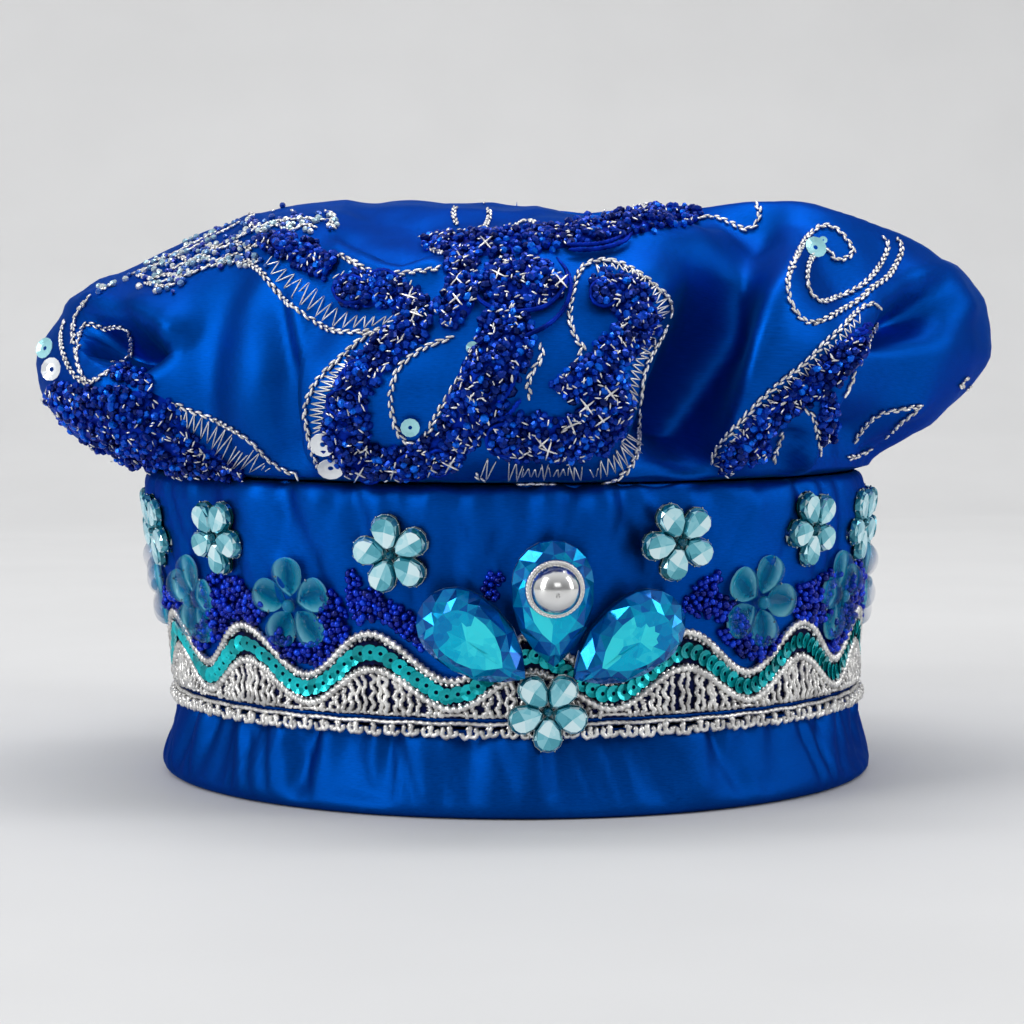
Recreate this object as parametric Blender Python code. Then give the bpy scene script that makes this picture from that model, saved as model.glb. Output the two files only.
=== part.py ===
"""Decorated satin cap: a puffed satin crown on a tall padded band with a gathered hem.

The band carries a beaded wave trim, a ring of stone flowers and a three-stone ornament. The crown
carries raised beaded applique. +Z is up and the ornament faces -Y. The origin is at the centre of
the hem's foot. An azimuth is 0 at the front and grows towards +X, to the right as the cap is faced.
"""

import math
from collections import namedtuple

import bmesh
import bpy
from mathutils import Matrix, Vector
from mathutils.bvhtree import BVHTree

# Every size below is in millimetres and every angle in degrees. MM turns a size into metres.
MM = 0.001
GAP = 0.3

# Band: a padded ring, a little wider at the top, that leans slightly to the wearer's right
BAND_BOTTOM = 22.8
BAND_TOP = 85.0
BAND_WALL = 3.2
BAND_COLUMNS = 60
LEAN = -2.8
Row = namedtuple("Row", "height radius")
BAND_ROWS = (
    Row(BAND_BOTTOM, 96.0),
    Row(36.0, 96.4),
    Row(79.0, 102.6),
    Row(83.4, 101.9),
    Row(BAND_TOP, 100.2),
)
LEAN_ROWS = (Row(BAND_BOTTOM, 0.0), Row(82.0, LEAN), Row(BAND_TOP, LEAN), Row(115.0, 0.0))

# Hem: gathered satin that flares from under the trim to a rolled foot
HEM_TOP = 22.5
HEM_FOOT_OUTER = 99.2
HEM_FOOT_INNER = 96.4
HEM_ROWS = (Row(HEM_TOP, 96.0), Row(12.0, 99.4), Row(3.4, 101.5))
GATHERS = 22
GATHER_DEPTH = 0.7

# Wave trim: repeats of one wave, sampled at a few columns each
WAVES = 15
WAVE_PHASE = -2.4
COLUMNS_PER_WAVE = 5
CORD_RADIUS = 0.85
LOWER_CORD_HEIGHT, LOWER_CORD_SWING = 32.4, 4.8
UPPER_CORD_HEIGHT, UPPER_CORD_SWING = 40.7, 5.8
EDGING_BOTTOM, EDGING_TOP, EDGING_DEPTH = 23.3, 25.2, 1.5
BULLION_BOTTOM, BULLION_DEPTH = 25.5, 1.4
SEQUIN_DEPTH = 1.2
CORD_CLEARANCE = CORD_RADIUS + 0.35

# Stone flowers: five petals fused to one mount, the faceted ones above the cabochon ones
PETALS = 5
PETAL_SPREAD = 360 / PETALS
FACETED_REACH, FACETED_HALF_WIDTH, FACETED_DEPTH = 10.4, 3.7, 3.4
CABOCHON_REACH, CABOCHON_HALF_WIDTH, CABOCHON_DEPTH = 12.6, 4.7, 4.6
CUT_PETAL = ((0.52, 0.88), (0.87, 0.88))
ROUND_PETAL = ((0.52, 0.84), (0.78, 1.0), (0.95, 0.58))
NOTCH_SHARE = 0.29
HUB_SHARE = 0.12
HUB_DEPTH = 2.6
Flower = namedtuple("Flower", "azimuth height turn")
FACETED_FLOWERS = (
    Flower(-74.6, 69.6, -95),
    Flower(-53.0, 70.0, -88),
    Flower(-21.6, 67.4, 101),
    Flower(20.0, 70.4, -99),
    Flower(46.0, 71.9, -98),
    Flower(64.0, 71.4, -90),
)
CABOCHON_FLOWERS = (
    Flower(-64.0, 51.6, 84),
    Flower(-39.3, 53.2, 93),
    Flower(35.2, 53.4, 71),
    Flower(57.4, 52.2, 98),
)
FACETED_AT_BACK = 8
CABOCHONS_AT_BACK = 9
BACK_TURN_STEP = 31
LOW_FLOWER = Flower(-0.3, 27.8, -90)
LOW_FLOWER_STANDOFF = 2.9

# Ornament: three pear stones fanned over the trim, with a domed metal button on the middle one
PEAR_POINTS = 14
PEAR_DEPTH = 7.6
PEAR_GIRDLE = 3.0
PEAR_TABLE_SCALE = 0.56
PEAR_STANDOFF = 2.7
Pear = namedtuple("Pear", "name azimuth height turn length half_width")
PEARS = (
    Pear("pear_stone_left", -10.2, 46.8, 142.5, 32.6, 10.1),
    Pear("pear_stone_middle", 0.9, 56.0, 91.5, 33.0, 10.5),
    Pear("pear_stone_right", 11.4, 45.9, 34.0, 33.4, 10.3),
)
BUTTON_HEIGHT = 61.2
BUTTON_SEGMENTS = 16
BUTTON_PROFILE = (Row(0.0, 7.5), Row(1.2, 7.5), Row(1.5, 6.8), Row(4.2, 5.9), Row(6.2, 3.6))
BUTTON_CROWN = 7.2

# Crown: a thin satin shell. Two tables go round it. The lower one gives, for each fold, the tuck over
# the band and the widest point. The upper one gives the shoulder where the side turns into the top,
# and the top's height half way in. Their folds stand at different azimuths, so a valley may slant.
CROWN_JOINT = 99.2
CROWN_WALL = 2.0
CROWN_APEX = 160.6
CROWN_COLUMNS = 56
FRONT_CROWDING = 0.3
TOP_MIDDLE = 0.56
STEPS_PER_SPAN = (1, 2, 3, 3, 2)
Side = namedtuple("Side", "azimuth tuck_radius tuck_height bulge_radius bulge_height")
CROWN_SIDES = (
    Side(-168, 109.0, 88.0, 119, 112),
    Side(-150, 112.0, 88.5, 126, 111),
    Side(-134, 106.0, 88.0, 118, 113),
    Side(-114, 115.0, 89.5, 134, 113),
    Side(-92, 118.0, 90.0, 137, 114),
    Side(-74, 117.0, 89.5, 135, 111),
    Side(-60, 115.0, 89.0, 130, 109),
    Side(-53, 109.0, 88.0, 122, 110),
    Side(-49, 105.0, 88.0, 111, 112),
    Side(-43, 107.0, 88.0, 117, 108),
    Side(-36, 108.0, 88.0, 118, 108),
    Side(-32.5, 104.0, 87.5, 112, 109),
    Side(-28, 109.0, 88.0, 121, 109),
    Side(-12, 108.0, 88.0, 120, 109),
    Side(2, 108.0, 88.0, 119, 111),
    Side(12, 106.0, 87.5, 116, 112),
    Side(18, 102.0, 87.0, 108, 112),
    Side(23, 101.0, 87.5, 101, 116),
    Side(27, 102.0, 87.5, 106, 118),
    Side(33, 107.0, 88.0, 120, 118),
    Side(40, 109.0, 88.5, 127, 118),
    Side(54, 106.0, 88.5, 123, 118),
    Side(64, 109.0, 89.0, 131, 119),
    Side(86, 108.0, 90.0, 136, 121),
    Side(104, 110.0, 89.5, 134, 118),
    Side(122, 105.0, 88.0, 120, 116),
    Side(142, 111.0, 89.0, 127, 113),
    Side(162, 106.0, 88.0, 117, 112),
    Side(177, 109.0, 88.5, 121, 110),
)
Shoulder = namedtuple("Shoulder", "azimuth radius height top_height")
CROWN_SHOULDERS = (
    Shoulder(-168, 97, 147, 159.5),
    Shoulder(-150, 103, 148, 159.5),
    Shoulder(-134, 95, 149, 159.5),
    Shoulder(-114, 106, 147, 159.5),
    Shoulder(-92, 110, 145, 159.5),
    Shoulder(-74, 107, 147, 159.5),
    Shoulder(-60, 104, 148, 159.0),
    Shoulder(-50, 97, 149, 158.5),
    Shoulder(-42, 102, 144, 158.0),
    Shoulder(-33, 98, 142, 158.0),
    Shoulder(-20, 100, 140, 158.0),
    Shoulder(-8, 98, 142, 158.0),
    Shoulder(4, 96, 146, 158.0),
    Shoulder(14, 95, 148, 157.5),
    Shoulder(24, 93, 149, 157.0),
    Shoulder(34, 91, 149, 156.0),
    Shoulder(42, 87, 147, 155.5),
    Shoulder(50, 93, 158, 157.5),
    Shoulder(58, 104, 154, 157.5),
    Shoulder(68, 112, 150, 157.0),
    Shoulder(86, 116, 148, 156.5),
    Shoulder(104, 110, 147, 156.5),
    Shoulder(122, 97, 148, 156.5),
    Shoulder(142, 105, 146, 157.0),
    Shoulder(162, 96, 148, 158.0),
    Shoulder(177, 101, 146, 159.0),
)

# Applique: thick beaded strips laid on the crown. A path gives points of a drawing that stands on
# the cap's axis, seen from the viewpoint below: x to the right, z up, and the strip's half width.
VIEW_AZIMUTH = -5.0
VIEW_DISTANCE = 790.0
VIEW_HEIGHT = 121.0
STRIP_GAP = 0.6
STRIP_DEPTH = 2.4
STRIP_EDGE = 0.55
SEAT_ROUNDS = 14
Point = namedtuple("Point", "x z half_width")
LEFT_SCROLL = (
    Point(-24.3, 123.9, 4.2),
    Point(-35.8, 119.6, 5.0),
    Point(-44.9, 111.3, 5.6),
    Point(-47.8, 101.0, 6.0),
    Point(-46.1, 91.8, 6.0),
    Point(-37.8, 86.1, 5.2),
    Point(-27.8, 85.2, 4.8),
    Point(-18.6, 85.8, 4.4),
)
RIGHT_SCROLL = (
    Point(26.0, 134.2, 4.6),
    Point(31.8, 124.4, 4.6),
    Point(28.6, 114.7, 5.0),
    Point(22.0, 105.0, 7.4),
    Point(12.9, 95.8, 7.6),
    Point(0.3, 90.7, 5.4),
    Point(-7.7, 89.5, 4.4),
)
CENTRE_PLUME = (
    Point(1.4, 141.6, 8.6),
    Point(0.0, 132.4, 9.6),
    Point(-2.9, 122.4, 7.0),
    Point(-6.6, 112.4, 6.2),
    Point(-11.2, 103.3, 5.2),
    Point(-15.7, 95.8, 4.2),
)
SHOULDER_BAND = (
    Point(-71.3, 144.5, 3.4),
    Point(-58.4, 143.3, 4.4),
    Point(-47.2, 136.5, 4.8),
    Point(-35.8, 133.6, 4.6),
    Point(-25.5, 140.5, 4.6),
    Point(-15.7, 148.5, 4.2),
    Point(-2.0, 150.8, 4.2),
    Point(12.3, 151.9, 4.0),
    Point(27.2, 154.8, 3.6),
    Point(40.9, 156.5, 3.0),
    Point(49.5, 156.5, 2.4),
)
RIGHT_SPRAY = (
    Point(99.9, 126.2, 2.8),
    Point(93.0, 119.6, 4.6),
    Point(85.3, 111.8, 5.2),
    Point(75.8, 103.3, 5.0),
    Point(67.3, 94.1, 4.4),
    Point(60.4, 86.1, 3.0),
)
LEFT_SPRAY = (
    Point(-129.6, 107.8, 4.6),
    Point(-122.2, 103.8, 6.6),
    Point(-115.1, 100.4, 7.4),
    Point(-107.9, 96.4, 6.6),
    Point(-102.2, 92.4, 4.6),
    Point(-98.7, 89.5, 3.0),
)
FRONT_STRIPS = {
    "applique_left_scroll": LEFT_SCROLL,
    "applique_right_scroll": RIGHT_SCROLL,
    "applique_centre_plume": CENTRE_PLUME,
    "applique_shoulder_band": SHOULDER_BAND,
    "applique_right_spray": RIGHT_SPRAY,
    "applique_left_spray": LEFT_SPRAY,
}
BACK_STRIPS = {
    "applique_back_left_scroll": LEFT_SCROLL,
    "applique_back_right_scroll": RIGHT_SCROLL,
    "applique_back_plume": CENTRE_PLUME,
}

Finish = namedtuple("Finish", "red green blue roughness metallic")
FINISHES = {
    "satin": Finish(0.004, 0.075, 0.48, 0.40, 0.0),
    "beading": Finish(0.005, 0.012, 0.30, 0.30, 0.0),
    "silver_cord": Finish(0.62, 0.60, 0.58, 0.42, 0.8),
    "sequin": Finish(0.01, 0.46, 0.50, 0.22, 0.2),
    "aqua_stone": Finish(0.30, 0.68, 0.74, 0.06, 0.0),
    "cabochon": Finish(0.08, 0.36, 0.55, 0.05, 0.0),
    "pear_stone": Finish(0.0, 0.42, 0.70, 0.05, 0.0),
    "bright_metal": Finish(0.80, 0.79, 0.77, 0.08, 1.0),
}


def clear_scene():
    for item in list(bpy.data.objects):
        bpy.data.objects.remove(item)


def material(name):
    found = bpy.data.materials.get(name)
    if found:
        return found
    finish = FINISHES[name]
    made = bpy.data.materials.new(name)
    made.use_nodes = True
    shader = made.node_tree.nodes["Principled BSDF"]
    shader.inputs["Base Color"].default_value = (finish.red, finish.green, finish.blue, 1)
    shader.inputs["Roughness"].default_value = finish.roughness
    shader.inputs["Metallic"].default_value = finish.metallic
    return made


def add_object(name, bm, finish, sharp_angle=None):
    """Turns a finished bmesh into a named object with its finish."""
    bmesh.ops.recalc_face_normals(bm, faces=bm.faces)
    mesh = bpy.data.meshes.new(name)
    bm.to_mesh(mesh)
    bm.free()
    mesh.materials.append(material(finish))
    if sharp_angle is not None:
        mesh.shade_smooth()
        mesh.set_sharp_from_angle(angle=math.radians(sharp_angle))
    item = bpy.data.objects.new(name, mesh)
    bpy.context.scene.collection.objects.link(item)
    return item


def between(rows, height):
    """The radius that a table of rows gives at a height, in straight steps."""
    if height <= rows[0].height:
        return rows[0].radius
    for low, high in zip(rows, rows[1:]):
        if height <= high.height:
            share = (height - low.height) / (high.height - low.height)
            return low.radius + share * (high.radius - low.radius)
    return rows[-1].radius


def place(azimuth, radius, height):
    """The point at an azimuth, radius and height, in metres, with the cap's lean."""
    turn = math.radians(azimuth)
    x = radius * math.sin(turn) + between(LEAN_ROWS, height)
    return Vector((x, -radius * math.cos(turn), height)) * MM


def ring_solid(name, columns, profile, finish, sharp_angle=None):
    """A closed ring: profile(azimuth) gives the same number of (radius, height) corners each time."""
    bm = bmesh.new()
    loops = []
    for column in range(columns):
        azimuth = 360 * column / columns
        loops.append([bm.verts.new(place(azimuth, r, z)) for r, z in profile(azimuth)])
    for loop, following in zip(loops, loops[1:] + loops[:1]):
        corners = len(loop)
        for i in range(corners):
            j = (i + 1) % corners
            bm.faces.new((loop[i], loop[j], following[j], following[i]))
    return add_object(name, bm, finish, sharp_angle)


def band_radius(height):
    return between(BAND_ROWS, height)


def build_band():
    def profile(azimuth):
        outside = [(row.radius, row.height) for row in BAND_ROWS]
        inside = [(row.radius - BAND_WALL, row.height) for row in (BAND_ROWS[-1], BAND_ROWS[0])]
        return outside + inside

    ring_solid("band", BAND_COLUMNS, profile, "satin", 40)


def build_hem():
    def profile(azimuth):
        ripple = math.cos(math.radians(GATHERS * azimuth))
        ripple += 0.5 * math.cos(math.radians((GATHERS - 9) * azimuth + 40))
        outside = [(HEM_ROWS[0].radius, HEM_TOP)]
        for row in HEM_ROWS[1:]:
            outside.append((row.radius + GATHER_DEPTH * ripple * row.height / HEM_TOP, row.height))
        foot = [(HEM_FOOT_OUTER, 0.0), (HEM_FOOT_INNER, 0.0)]
        return outside + foot + [(band_radius(BAND_BOTTOM) - BAND_WALL, HEM_TOP)]

    ring_solid("hem", BAND_COLUMNS, profile, "satin", 40)


def wave(azimuth):
    return math.cos(math.radians(WAVES * (azimuth - WAVE_PHASE)))


def lower_cord(azimuth):
    return LOWER_CORD_HEIGHT + LOWER_CORD_SWING * wave(azimuth)


def upper_cord(azimuth):
    return UPPER_CORD_HEIGHT + UPPER_CORD_SWING * wave(azimuth)


def cord_ring(name, centre_height):
    """A round cord, four-sided here, that lies on the band along the wave."""

    def profile(azimuth):
        height = centre_height(azimuth)
        foot = band_radius(height) + GAP
        middle = foot + CORD_RADIUS
        top, bottom = height + CORD_RADIUS, height - CORD_RADIUS
        return [(foot, height), (middle, top), (foot + 2 * CORD_RADIUS, height), (middle, bottom)]

    ring_solid(name, WAVES * COLUMNS_PER_WAVE, profile, "silver_cord", 60)


def flat_ring(name, bottom, top, depth, finish, columns=WAVES * COLUMNS_PER_WAVE):
    """A flat strip round the band, between two heights that may follow the wave."""

    def profile(azimuth):
        low, high = bottom(azimuth), top(azimuth)
        foot_low, foot_high = band_radius(low) + GAP, band_radius(high) + GAP
        return [(foot_low, low), (foot_low + depth, low), (foot_high + depth, high), (foot_high, high)]

    ring_solid(name, columns, profile, finish)


def build_trim():
    cord_ring("trim_upper_cord", upper_cord)
    cord_ring("trim_lower_cord", lower_cord)
    flat_ring(
        "trim_sequin_row",
        lambda azimuth: lower_cord(azimuth) + CORD_CLEARANCE,
        lambda azimuth: upper_cord(azimuth) - CORD_CLEARANCE,
        SEQUIN_DEPTH,
        "sequin",
    )
    flat_ring(
        "trim_bullion_fill",
        lambda azimuth: BULLION_BOTTOM,
        lambda azimuth: max(lower_cord(azimuth) - CORD_CLEARANCE, BULLION_BOTTOM + 0.8),
        BULLION_DEPTH,
        "silver_cord",
    )
    flat_ring(
        "trim_edging",
        lambda azimuth: EDGING_BOTTOM,
        lambda azimuth: EDGING_TOP,
        EDGING_DEPTH,
        "silver_cord",
        BAND_COLUMNS,
    )


def seat_matrix(azimuth, height, turn, standoff):
    """Places a flat-backed piece on the band: its Z points out and turn spins it about that."""
    spin = math.radians(azimuth)
    sideways = Vector((math.cos(spin), math.sin(spin), 0))
    above = place(azimuth, band_radius(height + 1), height + 1)
    rise = above - place(azimuth, band_radius(height - 1), height - 1)
    outward = sideways.cross(rise).normalized()
    upward = outward.cross(sideways)
    axes = Matrix((sideways, upward, outward)).transposed()
    origin = place(azimuth, band_radius(height), height) + outward * standoff * MM
    return Matrix.Translation(origin) @ axes.to_4x4() @ Matrix.Rotation(math.radians(turn), 4, "Z")


def petal_outline(reach, half_width, side):
    """One petal along +X, from one notch of the flower round its tip to just short of the next.

    side holds points of one edge, as shares of the reach and of the half width.
    """
    notch = math.radians(PETAL_SPREAD / 2)
    start = (NOTCH_SHARE * reach * math.cos(notch), -NOTCH_SHARE * reach * math.sin(notch))
    lower = [(reach * along, -half_width * across) for along, across in side]
    upper = [(x, -y) for x, y in reversed(lower)]
    return [start, *lower, (reach, 0.0), *upper]


def turned(point, degrees):
    """A flat point turned about the origin."""
    cosine, sine = math.cos(math.radians(degrees)), math.sin(math.radians(degrees))
    return (point[0] * cosine - point[1] * sine, point[0] * sine + point[1] * cosine)


def flower(name, spot, reach, half_width, depth, finish, domed, standoff=GAP):
    """Five petals and a hub in one closed body: faceted with a table, or domed to a point."""
    bm = bmesh.new()
    outline = petal_outline(reach, half_width, ROUND_PETAL if domed else CUT_PETAL)
    centre = (reach * 0.66, 0.0)
    scale = 0.74 if domed else 0.62
    ring_depth = depth * 0.72 if domed else depth
    rim, hub, petals = [], [], []
    for k in range(PETALS):
        turn = k * PETAL_SPREAD
        edge = [turned(p, turn) for p in outline]
        rim.append([bm.verts.new((x * MM, y * MM, 0)) for x, y in edge])
        notch = turned((HUB_SHARE * reach, 0), turn - PETAL_SPREAD / 2)
        hub.append(bm.verts.new((notch[0] * MM, notch[1] * MM, HUB_DEPTH * MM)))
        inner = []
        for x, y in outline[1:]:
            shrunk = (centre[0] + (x - centre[0]) * scale, y * scale)
            at = turned(shrunk, turn)
            inner.append(bm.verts.new((at[0] * MM, at[1] * MM, ring_depth * MM)))
        petals.append(inner)
    for k in range(PETALS):
        edge = rim[k] + [rim[(k + 1) % PETALS][0]]
        inner = petals[k]
        first, last = hub[k], hub[(k + 1) % PETALS]
        bm.faces.new((edge[0], edge[1], inner[0]))
        for i in range(len(inner) - 1):
            bm.faces.new((edge[i + 1], edge[i + 2], inner[i + 1], inner[i]))
        bm.faces.new((edge[-2], edge[-1], inner[-1]))
        bm.faces.new((edge[0], inner[0], first))
        bm.faces.new((inner[-1], edge[-1], last))
        bm.faces.new((first, inner[0], inner[-1], last))
        if domed:
            at = turned(centre, k * PETAL_SPREAD)
            peak = bm.verts.new((at[0] * MM, at[1] * MM, depth * MM))
            for a, b in zip(inner, inner[1:] + inner[:1]):
                bm.faces.new((a, b, peak))
        else:
            bm.faces.new(inner)
    bm.faces.new(hub)
    bm.faces.new([vert for edge in rim for vert in edge])
    item = add_object(name, bm, finish, 50 if domed else None)
    item.matrix_world = seat_matrix(spot.azimuth, spot.height, spot.turn, standoff)


def round_the_back(front, count, turn_step):
    """Flowers that carry the front row on round the back, evenly spaced between its two ends."""
    first, last = front[-1], front[0]
    step = (last.azimuth + 360 - first.azimuth) / (count + 1)
    height = sum(f.height for f in front) / len(front)
    return [
        Flower(first.azimuth + step * (k + 1), height, turn_step * k - 90) for k in range(count)
    ]


def build_flowers():
    faceted = [*FACETED_FLOWERS, *round_the_back(FACETED_FLOWERS, FACETED_AT_BACK, BACK_TURN_STEP)]
    for number, spot in enumerate(faceted, 1):
        name = f"faceted_flower_{number:02d}"
        flower(name, spot, FACETED_REACH, FACETED_HALF_WIDTH, FACETED_DEPTH, "aqua_stone", False)
    low = (FACETED_REACH, FACETED_HALF_WIDTH, FACETED_DEPTH, "aqua_stone", False)
    flower("faceted_flower_low", LOW_FLOWER, *low, standoff=LOW_FLOWER_STANDOFF)
    back = round_the_back(CABOCHON_FLOWERS, CABOCHONS_AT_BACK, BACK_TURN_STEP)
    for number, spot in enumerate([*CABOCHON_FLOWERS, *back], 1):
        name = f"cabochon_flower_{number:02d}"
        flower(name, spot, CABOCHON_REACH, CABOCHON_HALF_WIDTH, CABOCHON_DEPTH, "cabochon", True)


def pear_outline(length, half_width, points):
    """A pear along +X with its tip at -X, centred between its ends."""
    belly = 0.66 * length
    outline = []
    for k in range(points):
        turn = 2 * math.pi * k / points
        if math.cos(turn) >= 0:
            x = belly + (length - belly) * math.cos(turn)
            y = half_width * math.sin(turn)
        else:
            share = abs(math.cos(turn)) ** 1.15
            x = belly * (1 - share)
            y = math.copysign(half_width * (1 - share**2.8), math.sin(turn))
        outline.append((x - length / 2, y))
    return outline


def build_pears():
    for pear in PEARS:
        bm = bmesh.new()
        outline = pear_outline(pear.length, pear.half_width, PEAR_POINTS)
        back = bm.faces.new([bm.verts.new((x * MM, y * MM, 0)) for x, y in outline])
        girdle = bmesh.ops.extrude_face_region(bm, geom=[back])
        raised = [v for v in girdle["geom"] if isinstance(v, bmesh.types.BMVert)]
        bmesh.ops.translate(bm, verts=raised, vec=(0, 0, PEAR_GIRDLE * MM))
        top = next(f for f in girdle["geom"] if isinstance(f, bmesh.types.BMFace))
        table = bmesh.ops.extrude_discrete_faces(bm, faces=[top])["faces"][0]
        corners = list(table.verts)
        middle = Vector((0.06 * pear.length * MM, 0, PEAR_DEPTH * MM))
        for vert in corners:
            vert.co.xy = middle.xy + (vert.co.xy - middle.xy) * PEAR_TABLE_SCALE
            vert.co.z = middle.z
        rim = [v for v in raised if v not in corners]
        bmesh.ops.bridge_loops(bm, edges=loop_edges(rim) + loop_edges(corners))
        item = add_object(pear.name, bm, "pear_stone")
        item.matrix_world = seat_matrix(pear.azimuth, pear.height, pear.turn, PEAR_STANDOFF)


def loop_edges(verts):
    """The edges that join the given vertices to each other."""
    chosen = set(verts)
    return list({e for v in verts for e in v.link_edges if set(e.verts) <= chosen})


def build_button():
    """A turned dome in a thin rim, on the middle stone's table."""
    bm = bmesh.new()
    rings = []
    for row in BUTTON_PROFILE:
        made = bmesh.ops.create_circle(bm, segments=BUTTON_SEGMENTS, radius=row.radius * MM)
        bmesh.ops.translate(bm, verts=made["verts"], vec=(0, 0, row.height * MM))
        rings.append(made["verts"])
    for low, high in zip(rings, rings[1:]):
        bmesh.ops.bridge_loops(bm, edges=loop_edges(low) + loop_edges(high))
    bm.faces.new(rings[0])
    peak = bm.verts.new((0, 0, BUTTON_CROWN * MM))
    for edge in loop_edges(rings[-1]):
        bm.faces.new((*edge.verts, peak))
    item = add_object("metal_button", bm, "bright_metal", 40)
    standoff = PEAR_STANDOFF + PEAR_DEPTH + GAP
    item.matrix_world = seat_matrix(PEARS[1].azimuth, BUTTON_HEIGHT, 0, standoff)


def around(table, azimuth):
    """The row that a table of folds gives at an azimuth, eased between the rows on either side."""
    wrapped = (azimuth - table[0].azimuth) % 360 + table[0].azimuth
    for low, high in zip(table, table[1:] + table[:1]):
        end = high.azimuth if high.azimuth > low.azimuth else high.azimuth + 360
        if wrapped <= end:
            share = (wrapped - low.azimuth) / (end - low.azimuth)
            share = share * share * (3 - 2 * share)
            return type(low)(azimuth, *(a + (b - a) * share for a, b in zip(low[1:], high[1:])))
    raise ValueError(f"azimuth {azimuth} lies outside the table of folds")


def smooth_between(before, start, end, after, share):
    """A point on the smooth curve from start to end, guided by its two outer neighbours."""
    squared, cubed = share**2, share**3
    weights = (
        2 * squared - cubed - share,
        3 * cubed - 5 * squared + 2,
        4 * squared - 3 * cubed + share,
        cubed - squared,
    )
    corners = zip(before, start, end, after)
    return tuple(0.5 * sum(w * value for w, value in zip(weights, four)) for four in corners)


def crown_profile(azimuth):
    """(radius, height) points from the joint over the bulge and shoulder to just short of the apex."""
    side, shoulder = around(CROWN_SIDES, azimuth), around(CROWN_SHOULDERS, azimuth)
    joint = (CROWN_JOINT, BAND_TOP + GAP)
    before = (CROWN_JOINT - 4, BAND_TOP + GAP)
    top = (TOP_MIDDLE * shoulder.radius, shoulder.top_height)
    knots = [
        before,
        joint,
        (side.tuck_radius, side.tuck_height),
        (side.bulge_radius, side.bulge_height),
        (shoulder.radius, shoulder.height),
        top,
        (0.0, CROWN_APEX),
        (-top[0], top[1]),
    ]
    points = []
    for k, steps in enumerate(STEPS_PER_SPAN):
        for step in range(steps):
            points.append(smooth_between(*knots[k : k + 4], step / steps))
    return points


def build_crown():
    """The outside of the crown, then a Solidify that gives the cloth its thickness inwards."""
    bm = bmesh.new()
    columns = []
    for column in range(CROWN_COLUMNS):
        even = 2 * math.pi * column / CROWN_COLUMNS
        azimuth = math.degrees(even - FRONT_CROWDING * math.sin(even))
        columns.append([bm.verts.new(place(azimuth, r, z)) for r, z in crown_profile(azimuth)])
    apex = bm.verts.new(place(0, 0, CROWN_APEX))
    for here, following in zip(columns, columns[1:] + columns[:1]):
        for i in range(len(here) - 1):
            bm.faces.new((here[i], following[i], following[i + 1], here[i + 1]))
        bm.faces.new((here[-1], following[-1], apex))
    bm.normal_update()
    outside = BVHTree.FromBMesh(bm)
    item = add_object("crown", bm, "satin", 60)
    wall = item.modifiers.new("cloth", "SOLIDIFY")
    wall.thickness = CROWN_WALL * MM
    wall.offset = -1
    return outside


def on_crown(outside, x, z, view_azimuth):
    """Where the sight line through a drawing point meets the crown, and the surface's normal."""
    spin = math.radians(view_azimuth)
    sideways = Vector((math.cos(spin), math.sin(spin), 0))
    towards = Vector((math.sin(spin), -math.cos(spin), 0))
    eye = (towards * VIEW_DISTANCE + Vector((0, 0, VIEW_HEIGHT))) * MM
    target = (sideways * x + Vector((0, 0, z))) * MM
    spot, normal, _, _ = outside.ray_cast(eye, (target - eye).normalized())
    if spot is None:
        raise ValueError(f"the sight line at {x}, {z} misses the crown")
    return spot, normal


def height_over(outside, point):
    """How far a point lies above the crown's outside, negative below it."""
    spot, normal, _, distance = outside.find_nearest(point)
    return distance if (point - spot).dot(normal) > 0 else -distance


def seat_feet(outside, stations):
    """Raises a strip's underside where its straight spans would dip into the crown between points."""
    steps = (0.0, 0.25, 0.5, 0.75, 1.0)
    for _ in range(SEAT_ROUNDS):
        for here, following in zip(stations, stations[1:]):
            for i in (0, 1):
                corners = (here[i], here[i + 1], following[i], following[i + 1])
                near, near_end, far, far_end = (foot for foot, _ in corners)
                samples = [
                    near.lerp(near_end, s).lerp(far.lerp(far_end, s), t) for s in steps for t in steps
                ]
                dip = STRIP_GAP * MM - min(height_over(outside, point) for point in samples)
                if dip > 0:
                    for foot, up in corners:
                        foot += up * dip


def build_strip(name, outside, path, view_azimuth):
    """A raised strip that follows the crown: flat below, fullest along its middle line."""
    spots = [on_crown(outside, p.x, p.z, view_azimuth) for p in path]
    stations = []
    for k, (spot, normal) in enumerate(spots):
        ahead, behind = spots[min(k + 1, len(spots) - 1)][0], spots[max(k - 1, 0)][0]
        across = (ahead - behind).normalized().cross(normal).normalized() * path[k].half_width * MM
        station = []
        for side in (-1, 0, 1):
            foot, up, _, _ = outside.find_nearest(spot + across * side)
            up = (up + normal).normalized()
            station.append((foot + up * STRIP_GAP * MM, up))
        stations.append(station)
    seat_feet(outside, stations)
    bm = bmesh.new()
    loops = []
    for station in stations:
        low = [foot for foot, _ in station]
        shares = (STRIP_EDGE, 1.0, STRIP_EDGE)
        high = [foot + up * STRIP_DEPTH * share * MM for (foot, up), share in zip(station, shares)]
        loops.append([bm.verts.new(v) for v in [*low, *reversed(high)]])
    for loop, following in zip(loops, loops[1:]):
        for i in range(6):
            j = (i + 1) % 6
            bm.faces.new((loop[i], loop[j], following[j], following[i]))
    for end in (loops[0], loops[-1]):
        bm.faces.new((end[0], end[1], end[4], end[5]))
        bm.faces.new((end[1], end[2], end[3], end[4]))
    add_object(name, bm, "beading", 50)


def build_applique(outside):
    for name, path in FRONT_STRIPS.items():
        build_strip(name, outside, path, VIEW_AZIMUTH)
    for name, path in BACK_STRIPS.items():
        build_strip(name, outside, path, VIEW_AZIMUTH + 180)


def main():
    clear_scene()
    build_band()
    build_hem()
    build_trim()
    build_flowers()
    build_pears()
    build_button()
    outside = build_crown()
    build_applique(outside)


main()
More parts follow.
